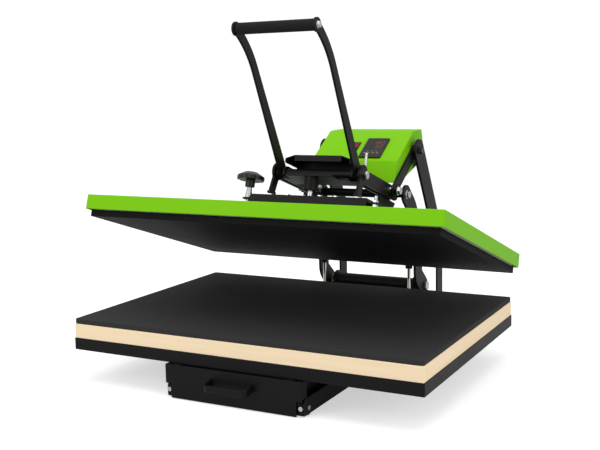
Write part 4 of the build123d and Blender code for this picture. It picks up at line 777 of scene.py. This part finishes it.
@dataclass
class PanelFace:
    """The window, digits, lamps and key marks of the panel controller."""

    centre_mm: tuple[float, float] = (46.4, 61.0)
    size_mm: tuple[float, float] = (72.0, 100.0)
    proud_mm: float = 5.0
    border_mm: float = 5.0
    window_mm: tuple[float, float] = (59.6, 49.6)
    window_shift_mm: float = 14.0
    window_gap_mm: float = 1.0
    digit_mm: tuple[float, float] = (8.0, 14.0)
    bar_mm: float = 1.5
    digit_gap_mm: float = 5.0
    digit_right_mm: float = 22.0
    bar_trim: float = 0.6
    readings: tuple[tuple[str, float], ...] = (("180", 85.0), ("60", 65.0))
    film_mm: float = 0.3
    mark_mm: float = 0.16
    pane_mm: float = 0.7
    pane_sunk_mm: float = 0.2
    pane_edge_mm: float = 0.2
    key_v_mm: float = 31.0
    key_pitch_mm: float = 14.0
    key_half_mm: float = 5.0
    lamp_rise_mm: float = 11.0
    lamp_profile_mm: tuple[tuple[float, float], ...] = (
        (0.0, 0.0),
        (0.0, 1.5),
        (0.5, 1.4),
        (0.8, 0.8),
        (0.9, 0.0),
    )
    lamp_sunk_mm: float = 0.1
    lamp_steps: int = 16

    def build(self) -> None:
        """Build every part of the face."""
        self.overlay()
        self.window()
        self.digits()
        self.lamps()
        self.key_marks()

    def overlay(self) -> None:
        """Build the dark grey printed overlay above and below the keys."""
        x, v = self.centre_mm
        shape = bmesh.new()
        window_low = v + self.window_shift_mm - self.window_mm[1] / 2
        low = v - self.size_mm[1] / 2 + self.border_mm
        wide = self.size_mm[0] - 2 * self.border_mm
        strips = (
            (low, self.key_v_mm - self.key_half_mm),
            (self.key_v_mm + self.key_half_mm, window_low - self.window_gap_mm),
        )
        for lower, upper in strips:
            centre = (x, (lower + upper) / 2, self.proud_mm)
            add_block(shape, centre, (wide, upper - lower, self.film_mm))
        bmesh.ops.transform(shape, verts=shape.verts, matrix=PANEL_PLACE)
        add_piece("controller_overlay", shape, Body.BOX.value, CONTROLLER_FACE)

    def window(self) -> None:
        """Build the tinted window in its recess."""
        x, v = self.centre_mm
        shape = bmesh.new()
        add_block(
            shape,
            (x, v + self.window_shift_mm, self.proud_mm - self.pane_sunk_mm - self.pane_mm / 2),
            (*self.window_mm, self.pane_mm),
        )
        round_rims(shape, self.pane_edge_mm, 2)
        bmesh.ops.transform(shape, verts=shape.verts, matrix=PANEL_PLACE)
        add_piece("controller_window", shape, Body.BOX.value, DISPLAY_GLASS)

    def digits(self) -> None:
        """Build the seven-segment figures just above the window."""
        shape = bmesh.new()
        wide, tall = self.digit_mm
        half = tall / 2
        bars = {
            "a": (0.0, half, wide, 0),
            "g": (0.0, 0.0, wide, 0),
            "d": (0.0, -half, wide, 0),
            "b": (wide / 2, half / 2, half, 1),
            "c": (wide / 2, -half / 2, half, 1),
            "f": (-wide / 2, half / 2, half, 1),
            "e": (-wide / 2, -half / 2, half, 1),
        }
        top = self.proud_mm - self.pane_sunk_mm + self.mark_mm / 2
        pitch = wide + self.digit_gap_mm
        for text, v in self.readings:
            start = self.centre_mm[0] + self.digit_right_mm - (len(text) - 1) * pitch
            for index, figure in enumerate(text):
                x = start + index * pitch
                for name in SEGMENTS[figure]:
                    shift_x, shift_v, length, upright = bars[name]
                    run = length - self.bar_mm * self.bar_trim
                    flat = (self.bar_mm, run) if upright else (run, self.bar_mm)
                    add_block(shape, (x + shift_x, v + shift_v, top), (*flat, self.mark_mm))
        bmesh.ops.transform(shape, verts=shape.verts, matrix=PANEL_PLACE)
        add_piece("controller_digits", shape, Body.BOX.value, DIGIT_GLOW)

    def lamps(self) -> None:
        """Build three small lamps between window and keys."""
        shape = bmesh.new()
        for index in (-1, 0, 1):
            spin_profile(
                shape,
                self.lamp_profile_mm,
                (
                    self.centre_mm[0] + index * self.key_pitch_mm,
                    self.key_v_mm + self.lamp_rise_mm,
                    self.proud_mm - self.lamp_sunk_mm,
                ),
                Vector((0.0, 0.0, 1.0)),
                self.lamp_steps,
            )
        bmesh.ops.transform(shape, verts=shape.verts, matrix=PANEL_PLACE)
        close_and_face_out(shape)
        add_piece("controller_lamps", shape, Body.BOX.value, LAMP_GREEN)

    def key_marks(self) -> None:
        """Build the raised mark of every key."""
        marks = {
            "set": (((0.0, 0.0), (3.6, 0.9)), ((0.0, 0.0), (0.9, 3.0))),
            "shift": (((0.0, 0.0), (4.6, 0.9)), ((-1.8, 0.0), (0.9, 2.6))),
            "down": (((0.0, 0.5), (4.2, 0.9)), ((0.0, -0.6), (2.2, 0.9))),
            "up": (((0.0, -0.5), (4.2, 0.9)), ((0.0, 0.6), (2.2, 0.9))),
        }
        for index, (name, bars) in enumerate(marks.items()):
            x = self.centre_mm[0] + (index - 1.5) * self.key_pitch_mm
            top = height_over_panel(f"button_{name}")
            shape = bmesh.new()
            for (shift_x, shift_v), (wide, tall) in bars:
                add_block(
                    shape, (x + shift_x, self.key_v_mm + shift_v, top), (wide, tall, self.mark_mm)
                )
            bmesh.ops.transform(shape, verts=shape.verts, matrix=PANEL_PLACE)
            add_piece(f"key_mark_{name}", shape, f"key_{name}", MARK_WHITE)


def height_over_panel(node: str) -> float:
    """Find how far a node stands up from the control panel, in millimetres.

    Args:
        node: The node's name.

    Returns:
        The greatest height over the panel.
    """
    back = PANEL_PLACE.inverted()
    return max((back @ vertex.co).z for vertex in frame["nodes"][node].data.vertices) / MM


@dataclass
class Camera:
    """The camera that stands where the photograph was taken."""

    place_mm: tuple[float, float, float] = (1236.0, -2446.0, 787.0)
    yaw: float = 28.05
    pitch: float = 8.26
    roll: float = -1.25
    lens_mm: float = 57.78
    sensor_mm: float = 36.0

    def build(self) -> None:
        """Create the camera and make it the scene's own."""
        data = bpy.data.cameras.new("photo_camera")
        data.lens = self.lens_mm
        data.sensor_width = self.sensor_mm
        data.sensor_fit = "HORIZONTAL"
        data.clip_end = 50.0
        camera = bpy.data.objects.new("photo_camera", data)
        yaw, pitch, roll = (math.radians(angle) for angle in (self.yaw, self.pitch, self.roll))
        turn = Matrix.Rotation(yaw, 4, "Z") @ Matrix.Rotation(math.pi / 2 - pitch, 4, "X")
        camera.matrix_world = (
            Matrix.Translation(Vector(self.place_mm) * MM) @ turn @ Matrix.Rotation(roll, 4, "Z")
        )
        bpy.context.scene.collection.objects.link(camera)
        bpy.context.scene.camera = camera


WHITE = (1.0, 1.0, 1.0, 1.0)


@dataclass
class Softbox:
    """One soft studio light."""

    name: str
    place: tuple[float, float, float]
    aim: tuple[float, float, float]
    size: float
    power: float

    def build(self) -> None:
        """Create the light, pointing at its aim."""
        data = bpy.data.lights.new(self.name, "AREA")
        data.shape = "SQUARE"
        data.size = self.size
        data.energy = self.power
        light = bpy.data.objects.new(self.name, data)
        way = Vector(self.aim) - Vector(self.place)
        light.rotation_euler = way.to_track_quat("-Z", "Y").to_euler()
        light.location = self.place
        bpy.context.scene.collection.objects.link(light)


@dataclass
class Studio:
    """A pale floor, an even pale surround and soft lights."""

    floor_half: float = 14.0
    surround: float = 0.82
    backdrop: float = 1.05
    floor_roughness: float = 0.9
    floor_grey: float = 0.57
    floor_lift: float = 0.14
    floor_seen_lift: float = 0.41
    lights: list[Softbox] = field(
        default_factory=lambda: [
            Softbox("top_softbox", (0.3, -0.6, 3.4), (0.0, 0.0, 0.2), 3.0, 70.0),
            Softbox("front_softbox", (-1.6, -3.4, 1.9), (0.0, -0.2, 0.4), 2.2, 45.0),
            Softbox("right_softbox", (3.4, -0.9, 1.4), (0.2, 0.0, 0.5), 2.0, 30.0),
        ]
    )

    def build(self) -> None:
        """Create the floor, the surround and the lights."""
        shape = bmesh.new()
        bmesh.ops.create_grid(shape, x_segments=1, y_segments=1, size=self.floor_half)
        mesh = bpy.data.meshes.new("studio_floor")
        shape.to_mesh(mesh)
        shape.free()
        floor = bpy.data.objects.new("studio_floor", mesh)
        bpy.context.scene.collection.objects.link(floor)
        mesh.materials.append(self.floor_material())
        world = bpy.data.worlds.new("studio_surround")
        world.use_nodes = True
        nodes = world.node_tree.nodes
        links = world.node_tree.links
        glow = nodes["Background"]
        glow.inputs["Color"].default_value = WHITE
        glow.inputs["Strength"].default_value = self.surround
        seen = nodes.new("ShaderNodeBackground")
        seen.inputs["Color"].default_value = WHITE
        seen.inputs["Strength"].default_value = self.backdrop
        path = nodes.new("ShaderNodeLightPath")
        choice = nodes.new("ShaderNodeMixShader")
        links.new(path.outputs["Is Camera Ray"], choice.inputs[0])
        links.new(glow.outputs[0], choice.inputs[1])
        links.new(seen.outputs[0], choice.inputs[2])
        links.new(choice.outputs[0], nodes["World Output"].inputs["Surface"])
        bpy.context.scene.world = world
        for light in self.lights:
            light.build()
        bpy.context.scene.view_settings.view_transform = "Standard"

    def floor_material(self) -> bpy.types.Material:
        """Make the pale matt floor.

        Returns:
            The floor's material.
        """
        made = bpy.data.materials.new("studio_floor")
        made.use_nodes = True
        nodes = made.node_tree.nodes
        links = made.node_tree.links
        shader = nodes["Principled BSDF"]
        path = nodes.new("ShaderNodeLightPath")
        lift = nodes.new("ShaderNodeMath")
        lift.operation = "MULTIPLY_ADD"
        lift.inputs[1].default_value = self.floor_seen_lift
        lift.inputs[2].default_value = self.floor_lift
        links.new(path.outputs["Is Camera Ray"], lift.inputs[0])
        links.new(lift.outputs[0], shader.inputs["Emission Strength"])
        shader.inputs["Base Color"].default_value = (self.floor_grey, self.floor_grey, self.floor_grey, 1.0)
        shader.inputs["Roughness"].default_value = self.floor_roughness
        shader.inputs["Specular IOR Level"].default_value = 0.0
        shader.inputs["Emission Color"].default_value = WHITE
        return made


EDGE_WIDTHS_MM = {
    "head_cover": 1.6,
    "control_box": 1.6,
    "table_tray": 1.2,
    "table_board": 1.0,
    "drawer_front_panel": 0.8,
    "drawer_pull": 1.4,
    "swing_plates": 0.9,
    "outer_arm_bars": 0.9,
    "inner_arm_bars": 0.9,
    "handle_fork": 0.9,
    "press_beam": 1.0,
    "head_frame": 0.8,
    "pressure_housing": 1.0,
    "press_links": 0.7,
    "link_bars": 0.8,
    "rear_braces": 0.8,
    "rear_frame": 0.8,
    "hinge_stand": 0.8,
    "rear_deck": 0.8,
    "heat_platen": 0.8,
    "temperature_controller": 0.8,
    "switch_frame": 0.5,
    "pressure_knob": 1.6,
    "switch_rocker": 0.6,
    "arm_bolts": 0.7,
    "carrier_bolts": 0.7,
    "lever_shaft": 0.9,
    "hinge_shaft": 1.2,
    "head_bolts": 0.5,
    "base_bolts": 0.5,
    "drawer_bolts": 0.5,
    "grip_rod": 0.8,
    "base_feet": 0.8,
    "back_rollers": 0.6,
    "front_rollers": 0.6,
    "gas_cylinders": 0.8,
    "power_inlet": 0.6,
}


def main() -> None:
    """Dress the machine, then set up the studio and the camera."""
    coat_nodes()
    eased = EasedEdges(EDGE_WIDTHS_MM)
    for part in (eased, PressPad(), HandleGrip(), StudThreads(), PanelFace(), Studio(), Camera()):
        part.build()
        LOG.info("built %s", type(part).__name__)


if __name__ == "__main__":
    logging.basicConfig(level=logging.INFO, format="%(message)s")
    main()
